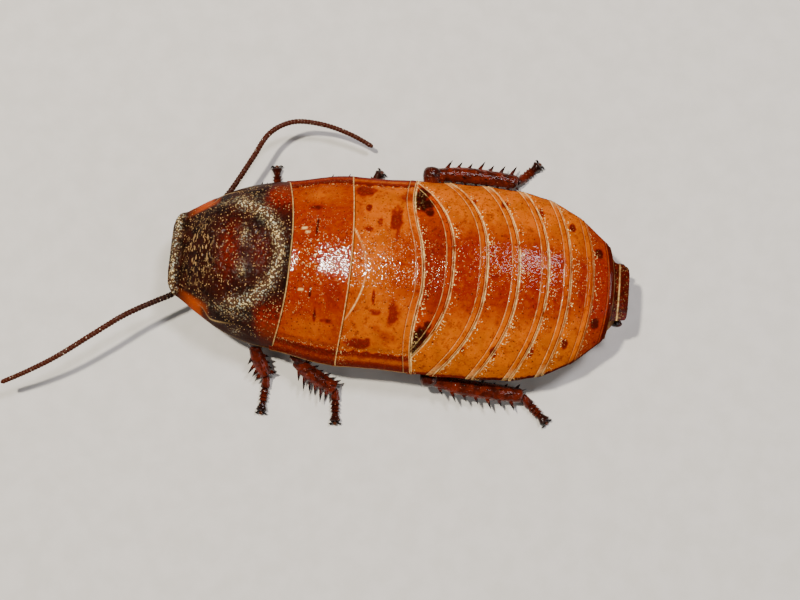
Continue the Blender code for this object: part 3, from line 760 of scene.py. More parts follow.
# Each plate: its part of the frame, its slot, its joints, painter, rim and rows
THORAX_PLATES = {
    "middle": ("mesonotum", "thorax_chitin", pronotum_rear, mesonotum_rear, paint_mesonotum, 0.1, 100),
    "rear": ("metanotum", "amber_chitin", mesonotum_rear, metanotum_rear, paint_metanotum, 0.85, 110),
}
for name, (node, slot, front, rear, paint, rim, far) in THORAX_PLATES.items():
    bm = back_plate(front, rear, paint, rim, relief=thorax_relief, count=THORAX_COLUMNS, far=far)
    piece(f"thorax_plate_{name}", bm, orange_chitin, (node,), wall=PLATE_WALL, closed=False)

# %% [markdown]
# ## The head shield
# The pronotum is a hood of near-black chitin, wrinkled all over. Its skin glitters where
# rough granules catch the light, most of all along its horseshoe and its front rim. There
# the glints are painted cream specks over a painted grey glare, and smaller painted glints
# lie scattered over the disc. Painted specks do that more steadily than a bump alone, whose
# sparkle changes with the view.

# %% The finish of the shield


def shield_finish():
    made = Finish("shield_chitin", coat=0.15, coat_roughness=0.1, specular=0.05)
    grain = made.noise(2.4, 1.5)
    mottle = made.noise(0.6, 3.0)
    base = made.mix(made.ramp(mottle, 0.35, 0.65), colour(24, 11, 8), colour(46, 17, 10))
    ruddy = made.math("MULTIPLY", made.attribute("red"), made.ramp(grain, 0.35, 0.6, 0.35, 1.0))
    base = made.mix(ruddy, base, colour(120, 20, 2))
    base = made.mix(made.attribute("orange"), base, colour(162, 60, 0))
    base = made.mix(made.attribute("brown"), base, colour(44, 13, 4))
    # Painted glints on the horseshoe and front rim: cream specks in warm and cool tints
    glint_specks = made.math("ADD", made.specks(3.6, 0.5, 0.75), made.specks(2.3, 0.38, 0.6))
    painted_glare = made.math("MULTIPLY", made.attribute("painted_glare"), glint_specks)
    warm, cool = colour(255, 226, 158), colour(206, 208, 180)
    tint = made.mix(made.ramp(made.noise(1.6, 0.0), 0.4, 0.6), warm, cool)
    # A painted grey glare under those glints
    base = made.mix(made.math("MULTIPLY", made.attribute("painted_glare"), 0.4), base, colour(112, 84, 60))
    base = made.mix(painted_glare, base, tint)
    # Painted glints scattered over the disc, drawn out along the creases at its front
    glint_sprinkle = made.math("ADD", made.specks(3.4, 0.34, 0.45), made.specks(2.2, 0.2, 0.3))
    creases = made.ramp(made.noise(2.2, 1.0, 0.5, (2.0, 0.6, 1.0)), 0.57, 0.63)
    glint_sprinkle = made.mix(made.attribute("crease"), glint_sprinkle, creases)
    scattered_glints = made.math("MULTIPLY", glint_sprinkle, made.attribute("rough"))
    base = made.mix(made.math("MULTIPLY", scattered_glints, 0.8), base, colour(214, 170, 110))
    line = made.math("MULTIPLY", made.attribute("pale"), made.ramp(grain, 0.3, 0.6, 0.5, 1.0))
    base = made.mix(line, base, CREAM)
    normal = made.bump(made.math("MULTIPLY", grain, made.attribute("rough")), 0.14)
    normal = made.bump(made.math("ADD", painted_glare, scattered_glints), 0.05, 1.0, normal)
    return made.done(base, made.ramp(mottle, 0.3, 0.7, 0.35, 0.5), normal)


shield_chitin = shield_finish()
print("shield finish made")

# %% [markdown]
# ## The form of the head shield
# The hood has a low horseshoe ridge round a hollow, two low bumps before it, a front rim
# that rolls under and a lobe on each side that folds down. These are broad soft forms, so
# each is a bell or a step added to the height of the arch. The wrinkles are noise, and
# the grid is dense enough to make them real relief.

# %% Forms of the shield
# How far from the midline each side lobe of the hood folds down
lobe_fold = curve(((4.6, 6.6), (5.6, 7.4), (6.5, 8.5), (8.2, 8.95), (11.2, 9.3), (13.4, 10.4)))
# The horseshoe runs round a centre on the midline, at this share of its two half sizes
HORSESHOE_STATION = 9.5
HORSESHOE_LONG = 6.2
HORSESHOE_WIDE = 7.0
HORSESHOE = 0.97


def past_fold(station, across):
    """Distance beyond the fold of the lobe, in millimetres."""
    return abs(across) - lobe_fold(station)


def on_lobe(station):
    """Is 1 where the hood has side lobes and 0 before and behind them."""
    return smooth((station - 5.0) / 0.6) * smooth((13.6 - station) / 1.2)


def shield_ring(station, across):
    """Distance from the centre of the horseshoe, as a share of its size."""
    return math.hypot((station - HORSESHOE_STATION) / HORSESHOE_LONG, across / HORSESHOE_WIDE)


def wrinkle(station, across):
    """Fine creases that run across the front of the disc, and grains elsewhere."""
    creases = noise.noise(Vector((station * 3.2, across * 0.9, 1.0)))
    grains = noise.noise(Vector((station, across, 5.0)) * 1.7)
    small = noise.noise(Vector((station, across, 9.0)) * 3.6)
    front = bell(station, 4.5, 2.2) * bell(across, 0.0, 3.2)
    return 0.16 * creases * front + 0.12 * grains * (1.0 - 0.5 * front) + 0.09 * small


def shield_relief(station, across):
    ring = shield_ring(station, across)
    ridge = 0.55 * bell(ring, HORSESHOE, 0.13) * smooth((station - 7.2) / 1.8)
    hollow = -0.45 * bell(ring, 0.1, 0.6) * smooth((station - 5.0) / 3.0)
    behind = -0.15 * bell(ring, 1.28, 0.1) * smooth((station - 9.0) / 3.0)
    rim = 0.25 * bell(station, 0.85, 0.4) - 0.25 * bell(station, 1.75, 0.35)
    knobs = 0.3 * bell(station, 5.4, 1.0) * bell(abs(across), 2.6, 1.1)
    return ridge + hollow + behind + rim + knobs


print("the horseshoe is", 2 * HORSESHOE_WIDE * HORSESHOE, "mm wide")

# %% Paint the shield


def paint_shield(station, across, u, ahead, rolled):
    ring = shield_ring(station, across)
    beyond = past_fold(station, across)
    fold = on_lobe(station) * smooth((beyond + 0.15) / 0.2)
    # Painted glare and glints: along the horseshoe ridge, in two spots behind it, at the sides of the disc,
    # on the lobes and along the front rim
    painted_glare = bell(ring, HORSESHOE, 0.11) * smooth((station - 8.0) / 2.0)
    painted_glare = max(painted_glare, 0.5 * bell(station, 10.6, 0.6) * bell(abs(across), 2.3, 1.0))
    painted_glare = max(painted_glare, 0.4 * bell(station, 9.0, 2.5) * bell(u, 0.74, 0.05))
    painted_glare = max(painted_glare, 0.3 * bell(station, 10.2, 0.8) * bell(beyond, 0.8, 0.4), bell(station, 0.9, 0.42))
    red = 0.62 * bell(station, 8.8, 1.5) * bell(across, -0.3, 3.6)
    red += 0.35 * bell(station, 13.2, 1.3) * bell(across, 0.0, 2.2)
    red = max(red, smooth((station - 12.2) / 1.4) * bell(u, 0.72, 0.16))
    corner = bell(station, 4.4, 1.8) * smooth((u - 0.74) / 0.1) * smooth((station - 1.4) / 0.8)
    rear = smooth((station - 12.8) / 1.4) * bell(u, 0.82, 0.11)
    orange = max(corner * smooth((6.6 - station) / 0.6), 0.22 * rear)
    brown = 0.8 * fold * (1.0 - rear)
    brown = max(brown, 0.6 * rolled)
    edge = 0.9 * bell(ahead, 0.05, 0.07) + margin_line(u) * smooth((station - 2.0) / 1.0)
    edge += 0.6 * bell(beyond, 0.0, 0.07) * bell(station, 7.2, 1.6)
    crease = bell(station, 4.6, 1.5) * bell(across, 0.0, 3.4)
    rough = (1.0 - orange * 0.85) * (1.0 - smooth((u - 0.9) / 0.05)) * (1.0 - bell(ahead, 0.1, 0.3))
    return red, orange, brown, painted_glare, edge, rough, crease


print("the shield has a painter")

# %% The shield itself
SHIELD_ROWS = 165
SHIELD_COLUMNS = 171
# The rolled front rim: how far back and how far down each row lies from the edge
SHIELD_ROLL = ((0.0, 0.25), (0.12, 0.55), (0.5, 0.7), (1.3, 0.55))
LOBE_DROP = 0.3
FRONT_CORNER = 0.9


def put_shield(row, column):
    side, fold = column
    share, roll = row
    end = joint(PRONOTUM_JOINT, side)
    corner = FRONT_CORNER * abs(side) ** 8
    station = end - (end - FRONT_EDGE - corner) * share
    across = half_width(station) * side
    height = back_height(station, side) + shield_relief(station, across)
    inside = (1.0 - abs(side) ** 10) * smooth((end - station) / 0.5)
    height += wrinkle(station, across) * inside
    height -= LOBE_DROP * on_lobe(station) * smooth(past_fold(station, across) / 0.3)
    height -= 0.08 * rounded_off(end - station, 0.15)
    if roll:
        back, down = SHIELD_ROLL[roll - 1]
        station += back
        height -= down * (1.0 - 0.7 * abs(side) ** 6)
        across *= 1.0 - 0.02 * roll
    across, height = folded(across, height, side, fold)
    rolled = 1.0 if roll else 0.0
    return spot(station, across, height), paint_shield(station, across, abs(side), end - station, rolled)


shield_rows = [(k / SHIELD_ROWS, 0) for k in range(SHIELD_ROWS + 1)]
shield_rows += [(1.0, k + 1) for k in range(len(SHIELD_ROLL))]
SHIELD_MARKS = ("red", "orange", "brown", "painted_glare", "pale", "rough", "crease")
bm = bent_sheet(shield_rows, columns(SHIELD_COLUMNS, crowding=0.9), put_shield, SHIELD_MARKS)
piece("head_shield", bm, shield_chitin, ("pronotum",), wall=PLATE_WALL, closed=False)

# %% [markdown]
# ## Tubes along a path
# Limbs, feelers and the soft body are all rounds that follow a path. A circle that is
# extruded from point to point makes them, and the circle may be flattened, turned and
# resized on its way. Each point remembers its angle, so the shape can be told by it.

# %% A tube along a path
UP = Vector((0, 0, 1))
# The ceiling over a limb rises past this distance from the midline, by this slope
CEILING_RISES_AT = 10.0
CEILING_SLOPE = 0.5


def through(points, spacing):
    """Points about a spacing apart on one smooth curve through the given ones."""
    knots = [Vector(p) for p in points]
    made = []
    for index in range(len(knots) - 1):
        here, there = knots[index], knots[index + 1]
        before, after = knots[max(index - 1, 0)], knots[min(index + 2, len(knots) - 1)]
        steps = max(1, round((there - here).length / spacing))
        for step in range(steps):
            t = step / steps
            made.append(
                0.5
                * (
                    2 * here
                    + (there - before) * t
                    + (2 * before - 5 * here + 4 * there - after) * t * t
                    + (3 * here - before - 3 * there + after) * t**3
                )
            )
    made.append(knots[-1])
    return made


def tube(bm, path, sides, sizes, marks=None, floor=None, ceiling=None):
    """Extrudes a circle along a path; sizes gives each ring's half width and height."""
    turn = bm.verts.layers.float.get("turn") or bm.verts.layers.float.new("turn")
    stores = {}
    for name in marks or {}:
        stores[name] = bm.verts.layers.float.get(name) or bm.verts.layers.float.new(name)
    ring = bmesh.ops.create_circle(bm, segments=sides, radius=1.0)["verts"]
    for vertex in ring:
        vertex[turn] = math.atan2(vertex.co.y, vertex.co.x)
    edges = list({edge for vertex in ring for edge in vertex.link_edges})
    bmesh.ops.contextual_create(bm, geom=edges)
    last = len(path) - 1
    for k, centre in enumerate(path):
        if k:
            grown = bmesh.ops.extrude_edge_only(bm, edges=edges)["geom"]
            ring = [part for part in grown if isinstance(part, bmesh.types.BMVert)]
            edges = [part for part in grown if isinstance(part, bmesh.types.BMEdge)]
        along = (path[min(k + 1, last)] - path[max(k - 1, 0)]).normalized()
        upright = UP if abs(along.dot(UP)) < 0.9 else Vector((1, 0, 0))
        side = upright.cross(along).normalized()
        lift = along.cross(side)
        wide, high = sizes[k]
        for vertex in ring:
            angle = vertex[turn]
            vertex.co = centre + side * math.cos(angle) * wide + lift * math.sin(angle) * high
            if floor is not None:
                vertex.co.z = max(vertex.co.z, floor)
            if ceiling is not None:
                outward = max(0.0, abs(vertex.co.y) - CEILING_RISES_AT)
                vertex.co.z = min(vertex.co.z, ceiling + outward * CEILING_SLOPE)
            for name, store in stores.items():
                vertex[store] = marks[name][k]
    bmesh.ops.contextual_create(bm, geom=edges)
    return bm


# A spine starts this deep in the limb, has few sides and bends down by a share of its length
THORN_DEPTH = 0.3
THORN_SIDES = 6
THORN_BEND = 0.12


def thorn(bm, root, direction, length, radius):
    """A curved, tapered spine that grows out of what carries it."""
    direction = direction.normalized()
    droop = Vector((0, 0, -1)) * THORN_BEND * length
    path, sizes, marks = [], [], []
    for share in (-THORN_DEPTH / length, 0.0, 0.3, 0.6, 0.85, 1.0):
        path.append(root + direction * length * share + droop * max(share, 0.0) ** 2)
        thick = radius * (1.0 - max(share, 0.0) ** 1.3 * 0.93)
        sizes.append((thick, thick))
        marks.append(smooth(share * 1.6))
    tube(bm, path, THORN_SIDES, sizes, {"tip": marks}, floor=0.02)


print("tube and thorn are ready")

# %% [markdown]
# ## Legs
# A leg is a broad flat coxa against the belly, a strong femur, a tibia set with long
# spines and a foot of five short segments that ends in two claws. All of it is dark red
# chitin that turns black at the spines and claws, which one attribute tells the shader.

# %% The leg finish


def leg_finish():
    made = Finish("leg_chitin", coat=0.8, coat_roughness=0.1, specular=0.1)
    mottle = made.noise(0.8, 3.0)
    grain = made.noise(4.0, 3.0)
    base = made.mix(made.ramp(mottle, 0.3, 0.7), colour(104, 28, 6), colour(46, 12, 5))
    pits = made.specks(2.6, 0.22, 0.45)
    base = made.mix(made.math("MULTIPLY", pits, 0.7), base, colour(30, 12, 8))
    base = made.mix(made.attribute("tip"), base, colour(18, 8, 6))
    base = made.mix(made.attribute("pad"), base, colour(72, 36, 20))
    # Painted glints: sparse pale specks on the dark chitin
    base = made.mix(made.math("MULTIPLY", made.specks(3.2, 0.2, 0.2), 0.8), base, colour(220, 150, 110))
    roughness = made.ramp(grain, 0.2, 0.8, 0.35, 0.5)
    normal = made.bump(made.noise(1.6, 2.0), 0.16)
    normal = made.bump(grain, 0.05, 1.0, normal)
    return made.done(base, roughness, normal)


leg_chitin = leg_finish()
print("leg finish made")

# %% [markdown]
# ## Where the legs stand
# A leg is easiest to place by its joints, each a station, a distance across and a height.
# The front legs are short and weak, and the hind legs are the longest, so each pair also
# has its own half widths and spines. Points on the joints let all six share one builder.

# %% Sizes and places of the legs
# Half widths of the parts, then the length of a spine, the pairs of spines, the share of
# the shin where they start, and how far the knob of the knee goes past the joint
LEG_SIZES = {
    "front": dict(coxa=1.6, femur=1.15, tibia=0.95, foot=0.68, spine=1.6, pairs=4, start=0.3, knee=0.4),
    "middle": dict(coxa=2.0, femur=1.25, tibia=1.05, foot=0.7, spine=2.0, pairs=6, start=0.2, knee=0.5),
    "hind": dict(coxa=2.25, femur=1.3, tibia=1.15, foot=0.74, spine=1.7, pairs=7, start=0.14, knee=1.2),
}
# Where the coxa begins and ends, then the trochanter, knee, ankle and toe
LEGS = {
    ("front", "left"): (
        (8.6, 5.2, 2.7), (12.3, 2.8, 2.5), (13.9, 3.6, 2.35),
        (12.3, 11.2, 3.2), (14.2, 14.9, 1.3), (13.9, 19.8),
    ),
    ("front", "right"): (
        (8.6, -5.2, 2.7), (12.3, -2.6, 2.5), (14.2, -4.1, 2.35),
        (9.8, -9.4, 3.0), (13.0, -10.5, 1.25), (12.4, -14.7),
    ),
    ("middle", "left"): (
        (17.4, 7.0, 2.7), (22.9, 2.9, 2.5), (25.3, 4.1, 2.35),
        (18.2, 12.6, 3.3), (23.8, 15.9, 1.35), (24.2, 20.3),
    ),
    ("middle", "right"): (
        (17.4, -7.0, 2.7), (22.9, -2.9, 2.5), (25.3, -4.1, 2.35),
        (18.9, -11.2, 3.1), (24.3, -11.9, 1.3), (27.2, -15.3),
    ),
    ("hind", "left"): (
        (26.4, 7.6, 2.75), (32.1, 3.1, 2.5), (34.2, 4.5, 2.3),
        (36.6, 13.4, 3.2), (49.6, 14.5, 1.45), (53.1, 17.7),
    ),
    ("hind", "right"): (
        (26.4, -7.6, 2.75), (32.1, -3.1, 2.5), (34.2, -4.7, 2.3),
        (34.5, -15.0, 3.3), (46.6, -15.5, 1.5), (49.5, -18.5),
    ),
}
TOE_HEIGHT = 0.45
# Limb parts under the belly stay below this height
UPPER_LIMIT = 3.7
LIMB_SPACING = 0.3


def profile(path, table):
    """Half sizes along a path, from a table of share and size."""
    shape = curve(table)
    return [shape(k / (len(path) - 1)) for k in range(len(path))]


def limb(bm, path, sides, table, flat=1.0, floor=None, ceiling=None, dark=0.0):
    """A limb part; dark says how black its far end is."""
    wide = profile(path, table)
    tip = [dark * smooth((k / (len(path) - 1) - 0.82) / 0.1) for k in range(len(path))]
    marks = {"tip": tip, "pad": [0.0] * len(path)}
    tube(bm, path, sides, [(w, w * flat) for w in wide], marks, floor, ceiling)


print(len(LEGS), "legs")

# %% [markdown]
# ## Hip joint and thigh
# The coxa is a broad paddle that lies flat on the belly, and the thigh folds back against
# it and swells to a knob at the knee. Both are tubes with their own run of widths, so a
# short table of shares and sizes says the whole shape.

# %% Hip joint and thigh
# Each table: the share of the way along, and the half size there
COXA_WIDE = ((0.0, 0.3), (0.08, 0.75), (0.3, 1.0), (0.7, 0.85), (0.93, 0.55), (1.0, 0.3))
COXA_HIGH = ((0.0, 0.3), (0.1, 0.8), (0.3, 1.05), (0.7, 1.0), (0.94, 0.75), (1.0, 0.4))
FEMUR_WIDE = (
    (0.0, 0.35), (0.04, 0.55), (0.14, 0.62), (0.2, 0.6), (0.36, 0.98), (0.6, 1.0),
    (0.78, 0.8), (0.87, 0.95), (0.92, 1.0), (0.96, 0.86), (0.985, 0.58), (1.0, 0.15),
)
FEMUR_FLAT = 0.92
FEMUR_SPINES = (0.5, 0.66, 0.82, 0.95)


def scaled(table, half):
    """A table of shares and sizes with each size made larger by a half width."""
    return [(share, half * size) for share, size in table]


def coxa(base, hip, half):
    bm = bmesh.new()
    path = through([base, base.lerp(hip, 0.3), base.lerp(hip, 0.7), hip], 0.35)
    wide = profile(path, scaled(COXA_WIDE, half))
    high = profile(path, COXA_HIGH)
    tube(bm, path, 24, list(zip(wide, high)), {"tip": [0.0] * len(path)}, ceiling=UPPER_LIMIT)
    return bm


def femur(hip, bend, knee, half, past):
    """Trochanter and femur in one; its end goes past the joint, as the knob of the knee."""
    bm = bmesh.new()
    end = knee + (knee - bend).normalized() * past
    path = through([hip, bend, bend.lerp(knee, 0.3), bend.lerp(knee, 0.7), knee, end], LIMB_SPACING)
    limb(bm, path, 20, scaled(FEMUR_WIDE, half), FEMUR_FLAT, ceiling=UPPER_LIMIT, dark=0.7)
    along = (knee - bend).normalized()
    side = UP.cross(along).normalized()
    for share in FEMUR_SPINES:
        for hand in (-1, 1):
            root = bend.lerp(knee, share) + side * hand * half * 0.55 - Vector((0, 0, half * 0.5))
            thorn(bm, root, side * hand * 0.8 + along * 0.7 - UP * 0.5, 0.75, 0.12)
    return bm


print("hip joint and thigh are ready")

# %% [markdown]
# ## Shin
# The tibia bows out a little and carries long spines in pairs along its sides, shorter
# ones on top and a crown of them round the ankle, which grip the ground. A loop over the
# pairs sets the long ones, and a sine keeps neighbours from being equally long.

# %% Shin
TIBIA_WIDE = (
    (0.0, 0.5), (0.05, 0.8), (0.14, 0.85), (0.35, 1.0), (0.6, 1.02),
    (0.88, 0.92), (0.96, 0.85), (0.985, 0.7), (1.0, 0.5),
)
TIBIA_FLAT = 0.84
TIBIA_BULGE = 0.35
LAST_PAIR = 0.9
CROWN_SPINES = 5
# Spines on the side toward the body are shorter, by this share
INNER_SPINE = 0.55


def tibia(knee, ankle, half, sizes):
    """The shin, with its spines in the same mesh."""
    bm = bmesh.new()
    bulge = Vector((0, math.copysign(TIBIA_BULGE, knee.y), 0))
    middle = [knee.lerp(ankle, 0.3) + bulge, knee.lerp(ankle, 0.65) + bulge * 0.7]
    path = through([knee, *middle, ankle], LIMB_SPACING)
    limb(bm, path, 20, scaled(TIBIA_WIDE, half), TIBIA_FLAT, floor=0.12, dark=0.3)
    along = (ankle - knee).normalized()
    side = UP.cross(along).normalized()
    lift = along.cross(side)
    start, pairs = sizes["start"], sizes["pairs"]
    for pair in range(pairs):
        share = start + (LAST_PAIR - start) * pair / (pairs - 1)
        for hand in (-1, 1):
            aside = side * hand
            root = knee.lerp(ankle, share + 0.02 * hand) + aside * half * 0.75
            root += bulge * math.sin(math.pi * share)
            length = sizes["spine"] * (0.82 + 0.18 * math.sin(2.3 * pair + hand))
            if aside.y * knee.y + 0.3 * aside.x * abs(knee.y) < 0.0:
                length *= INNER_SPINE
            thorn(bm, root, aside + along * 0.6 + UP * 0.1, length, 0.32)
    for pair in range(pairs - 1):
        share = start + (LAST_PAIR - start) * (pair + 0.5) / (pairs - 1)
        root = knee.lerp(ankle, share) + lift * half * 0.6
        thorn(bm, root, lift * 0.9 + along + side * 0.5 * (-1) ** pair, sizes["spine"] * 0.5, 0.15)
    for turn in range(CROWN_SPINES):
        angle = math.pi * (0.15 + 0.7 * turn / (CROWN_SPINES - 1)) + math.pi
        out = side * math.cos(angle) + lift * math.sin(angle)
        thorn(bm, ankle - along * 0.25 + out * half * 0.6, out * 0.7 + along, sizes["spine"] * 0.55, 0.16)
    return bm


print("shin is ready")

# %% [markdown]
# ## Foot
# The foot has five segments, the first and last of them long, and ends in two claws with
# a pale pad between. It runs down from the ankle and then lies along the ground, so one
# tube follows that line and pinches between the segments.

# %% Foot
SEGMENTS = (0.36, 0.14, 0.12, 0.1, 0.28)
# Within a segment: the share of its length, and how wide it is there
SWELL = ((0.02, 0.5), (0.15, 0.72), (0.5, 0.8), (0.85, 1.0), (0.97, 0.8))
# How fast the foot comes down from the ankle, and how high its middle then lies
FOOT_DROP = 3.6
FOOT_LOW = 0.75
# The claw: how far forward, outward and up each point lies from its root
CLAW = ((-0.2, 0.0, 0.0), (0.26, 0.14, 0.16), (0.42, 0.36, 0.1), (0.34, 0.62, -0.22))
CLAW_SIZE = ((0.0, 0.2), (0.4, 0.17), (0.8, 0.1), (1.0, 0.03))
PAD_PLACES = (0.0, 0.2, 0.42, 0.5)
PAD_SIZES = [(0.2, 0.15), (0.3, 0.15), (0.24, 0.12), (0.08, 0.05)]


def foot(ankle, toe, half):
    """Five segments, each wider toward its end, with a pale pad and two curved claws."""
    bm = bmesh.new()
    path, sizes, tip = [], [], []
    begin = 0.0
    for number, length in enumerate(SEGMENTS):
        for share, swell in SWELL:
            if number == len(SEGMENTS) - 1:
                swell *= 0.85 + 0.35 * share
            place = ankle.lerp(toe, begin + share * length)
            low = half * FOOT_LOW
            place.z = max(low, ankle.z + (low - ankle.z) * (begin + share * length) * FOOT_DROP)
            path.append(place)
            sizes.append((half * swell, half * swell * 0.85))
            tip.append(0.25 + 0.6 * smooth((begin + share * length - 0.6) / 0.3))
        begin += length
    tube(bm, path, 14, sizes, {"tip": tip, "pad": [0.0] * len(path)}, floor=0.0)
    forward = Vector((toe.x - ankle.x, toe.y - ankle.y, 0)).normalized()
    aside = Vector((-forward.y, forward.x, 0))
    for hand in (-1, 1):
        out = aside * hand
        root = toe + out * half * 0.4 - forward * 0.1
        claw = through([root + forward * ahead + out * wide + UP * high for ahead, wide, high in CLAW], 0.12)
        thick = profile(claw, CLAW_SIZE)
        marks = {"tip": [1.0] * len(claw), "pad": [0.0] * len(claw)}
        tube(bm, claw, 8, [(t, t) for t in thick], marks, floor=0.01)
    pad = [toe + forward * share for share in PAD_PLACES]
    tube(bm, pad, 10, PAD_SIZES, {"tip": [0.0] * len(pad), "pad": [1.0] * len(pad)}, floor=0.01)
    return bm


print("a foot has", len(SEGMENTS), "segments")

# %% The six legs
for (pair, side), (base, hip, bend, knee, ankle, toe) in LEGS.items():
    sizes = LEG_SIZES[pair]
    base, hip, bend, knee, ankle = (spot(*place) for place in (base, hip, bend, knee, ankle))
    toe = spot(*toe, TOE_HEIGHT)
    parts = (
        ("hip_joint", "coxa", coxa(base, hip, sizes["coxa"])),
        ("thigh", "femur", femur(hip, bend, knee, sizes["femur"], sizes["knee"])),
        ("shin", "tibia", tibia(knee, ankle, sizes["tibia"], sizes)),
        ("foot", "tarsus", foot(ankle, toe, sizes["foot"])),
    )
    for name, node, bm in parts:
        piece(f"{name}_{pair}_{side}", bm, leg_chitin, (f"{node}_{pair}_{side}",))

# %% [markdown]
# ## Feelers
# A feeler is a thick first joint, a short second one and a long whip of many rings. The
# rings are real: the tube swells and narrows once for each, and the pale skin between
# two rings is told by an attribute that follows them.

# %% The finish of the feelers


def feeler_finish():
    made = Finish("feeler_chitin", coat=0.35, coat_roughness=0.2)
    grain = made.noise(6.0, 3.0)
    base = made.mix(made.attribute("outer"), colour(12, 5, 4), colour(66, 22, 10))
    base = made.mix(made.ramp(grain, 0.45, 0.7, 0.0, 0.5), base, colour(24, 12, 10))
    base = made.mix(made.attribute("gap"), base, colour(120, 86, 60))
    # Painted glints: pale specks along the feeler
    base = made.mix(made.math("MULTIPLY", made.specks(2.4, 0.22, 0.35), 0.9), base, colour(240, 226, 196))
    normal = made.bump(grain, 0.05)
    return made.done(base, made.ramp(grain, 0.3, 0.7, 0.3, 0.55), normal)


feeler_chitin = feeler_finish()
print("feeler finish made")

# %% Feelers
# Each feeler starts inside its socket in the face
LEFT_FEELER = (
    (2.5, 1.95, 4.7), (1.75, 2.55, 4.95), (1.15, 3.7, 5.3), (0.9, 5.2, 5.45),
    (-1.1, 6.45, 5.75), (-3.5, 7.85, 6.1), (-5.8, 9.35, 6.3), (-9.3, 12.05, 6.3),
    (-13.7, 15.3, 5.8), (-17.6, 17.6, 5.1), (-21.25, 19.4, 4.2),
)
RIGHT_FEELER = (
    (2.5, -1.95, 4.7), (1.75, -2.55, 4.95), (1.9, -3.9, 4.75), (3.2, -5.6, 4.5),
    (4.8, -7.4, 4.35), (6.4, -9.3, 4.3), (7.9, -11.9, 4.5), (9.5, -15.0, 4.7),
    (11.4, -18.6, 4.7), (14.5, -20.66, 4.2), (18.6, -20.87, 3.4), (22.6, -20.0, 2.6),
    (25.8, -18.7, 1.9),
)
FEELER_SPACING = 0.075
RING_LENGTH = 0.46
# The first joint, thick in its middle, and the short second one end at these distances
FIRST_JOINT = 2.3
SECOND_JOINT = 2.9
JOINT_RADIUS = 0.4
JOINT_SWELL = 0.16
WHIP_RADIUS = 0.42
WHIP_TAPER = 0.08
PINCH = 0.2


def feeler(points):
    """A feeler along some points, pinched between its rings and rounded at its tip."""
    path = through([spot(*place) for place in points], FEELER_SPACING)
    walked = [0.0]
    for here, there in zip(path, path[1:]):
        walked.append(walked[-1] + (there - here).length)
    sizes, gap, outer = [], [], []
    for distance in walked:
        share = distance / walked[-1]
        radius = WHIP_RADIUS - WHIP_TAPER * share**1.5
        within = (distance % RING_LENGTH) / RING_LENGTH
        if distance < FIRST_JOINT:
            radius = JOINT_RADIUS + JOINT_SWELL * math.sin(math.pi * min(distance / 2.2, 1.0))
            within = 0.5
        elif distance < SECOND_JOINT:
            radius = JOINT_RADIUS
        pinch = 1.0 - PINCH * bell(min(within, 1.0 - within), 0.0, 0.13)
        ends = math.sqrt(max(0.02, 1.0 - max(0.0, (share - 0.985) / 0.015) ** 2))
        sizes.append((radius * pinch * ends, radius * pinch * ends))
        gap.append((0.25 + 0.25 * share) * bell(min(within, 1.0 - within), 0.0, 0.1))
        outer.append(smooth((share - 0.05) / 0.45))
    bm = bmesh.new()
    return tube(bm, path, 10, sizes, {"gap": gap, "outer": outer})


for side, points in (("left", LEFT_FEELER), ("right", RIGHT_FEELER)):
    piece(f"feeler_{side}", feeler(points), feeler_chitin, (f"antenna_{side}",))

# %% [markdown]
# ## The soft body
# Under the plates the animal is a bag of soft pale skin in fine folds, and the breathing
# holes are dark ovals along its side. One closed skin runs from the neck to the tail, so
# nothing hollow shows between the plates.

# %% The finish of the skin


def skin_finish():
    made = Finish("body_skin", coat=0.15, coat_roughness=0.35)
    folds = made.noise(0.5, 2.0, 0.5, (2.4, 0.8, 0.8))
    grain = made.noise(4.0, 3.0)
    base = made.mix(made.ramp(folds, 0.25, 0.75), colour(156, 108, 64), colour(122, 78, 44))
    base = made.mix(made.attribute("hole"), base, colour(22, 12, 9))
    normal = made.bump(folds, 0.2)
    normal = made.bump(grain, 0.05, 1.0, normal)
    return made.done(base, made.ramp(grain, 0.2, 0.8, 0.4, 0.6), normal)


body_skin = skin_finish()
print("skin finish made")

# %% The skin
SKIN_START = 4.4
SKIN_END = 61.2
SKIN_HALF = curve((
    (4.4, 1.3), (6.4, 1.9), (8.0, 4.4), (12.0, 8.4), (16.0, 10.4), (21.0, 11.7), (28.0, 12.1), (42.0, 12.2),
    (47.0, 11.9), (50.0, 11.3), (54.7, 9.3), (58.8, 6.1), (60.6, 4.2), (61.2, 3.0),
))
SKIN_TOP = curve((
    (4.4, 6.9), (6.4, 7.6), (9.0, 10.9), (13.0, 11.6), (17.0, 11.6), (21.0, 12.4), (28.0, 12.9),
    (36.0, 13.0), (42.0, 12.7), (48.0, 11.9), (53.0, 10.7), (57.0, 9.1), (60.4, 7.6), (61.2, 7.0),
))
SKIN_BOTTOM = curve((
    (4.4, 5.0), (6.4, 4.7), (8.0, 4.3), (34.5, 4.2), (37.5, 4.1), (40.5, 3.1), (44.0, 2.65), (50.0, 2.75),
    (54.0, 3.25), (57.0, 4.05), (60.4, 5.0), (61.2, 5.6),
))
SKIN_RINGS = 150
SKIN_SIDES = 64
# The stations of the breathing holes
SPIRACLES = (18.0, 26.0, 35.6, 39.4, 43.4, 47.3, 50.9, 53.9)
# The skin lies this far above the belly plates
BELLY_GAP = 0.25
SKIN_FOLDS = 0.12
DARK_TAIL = 60.0


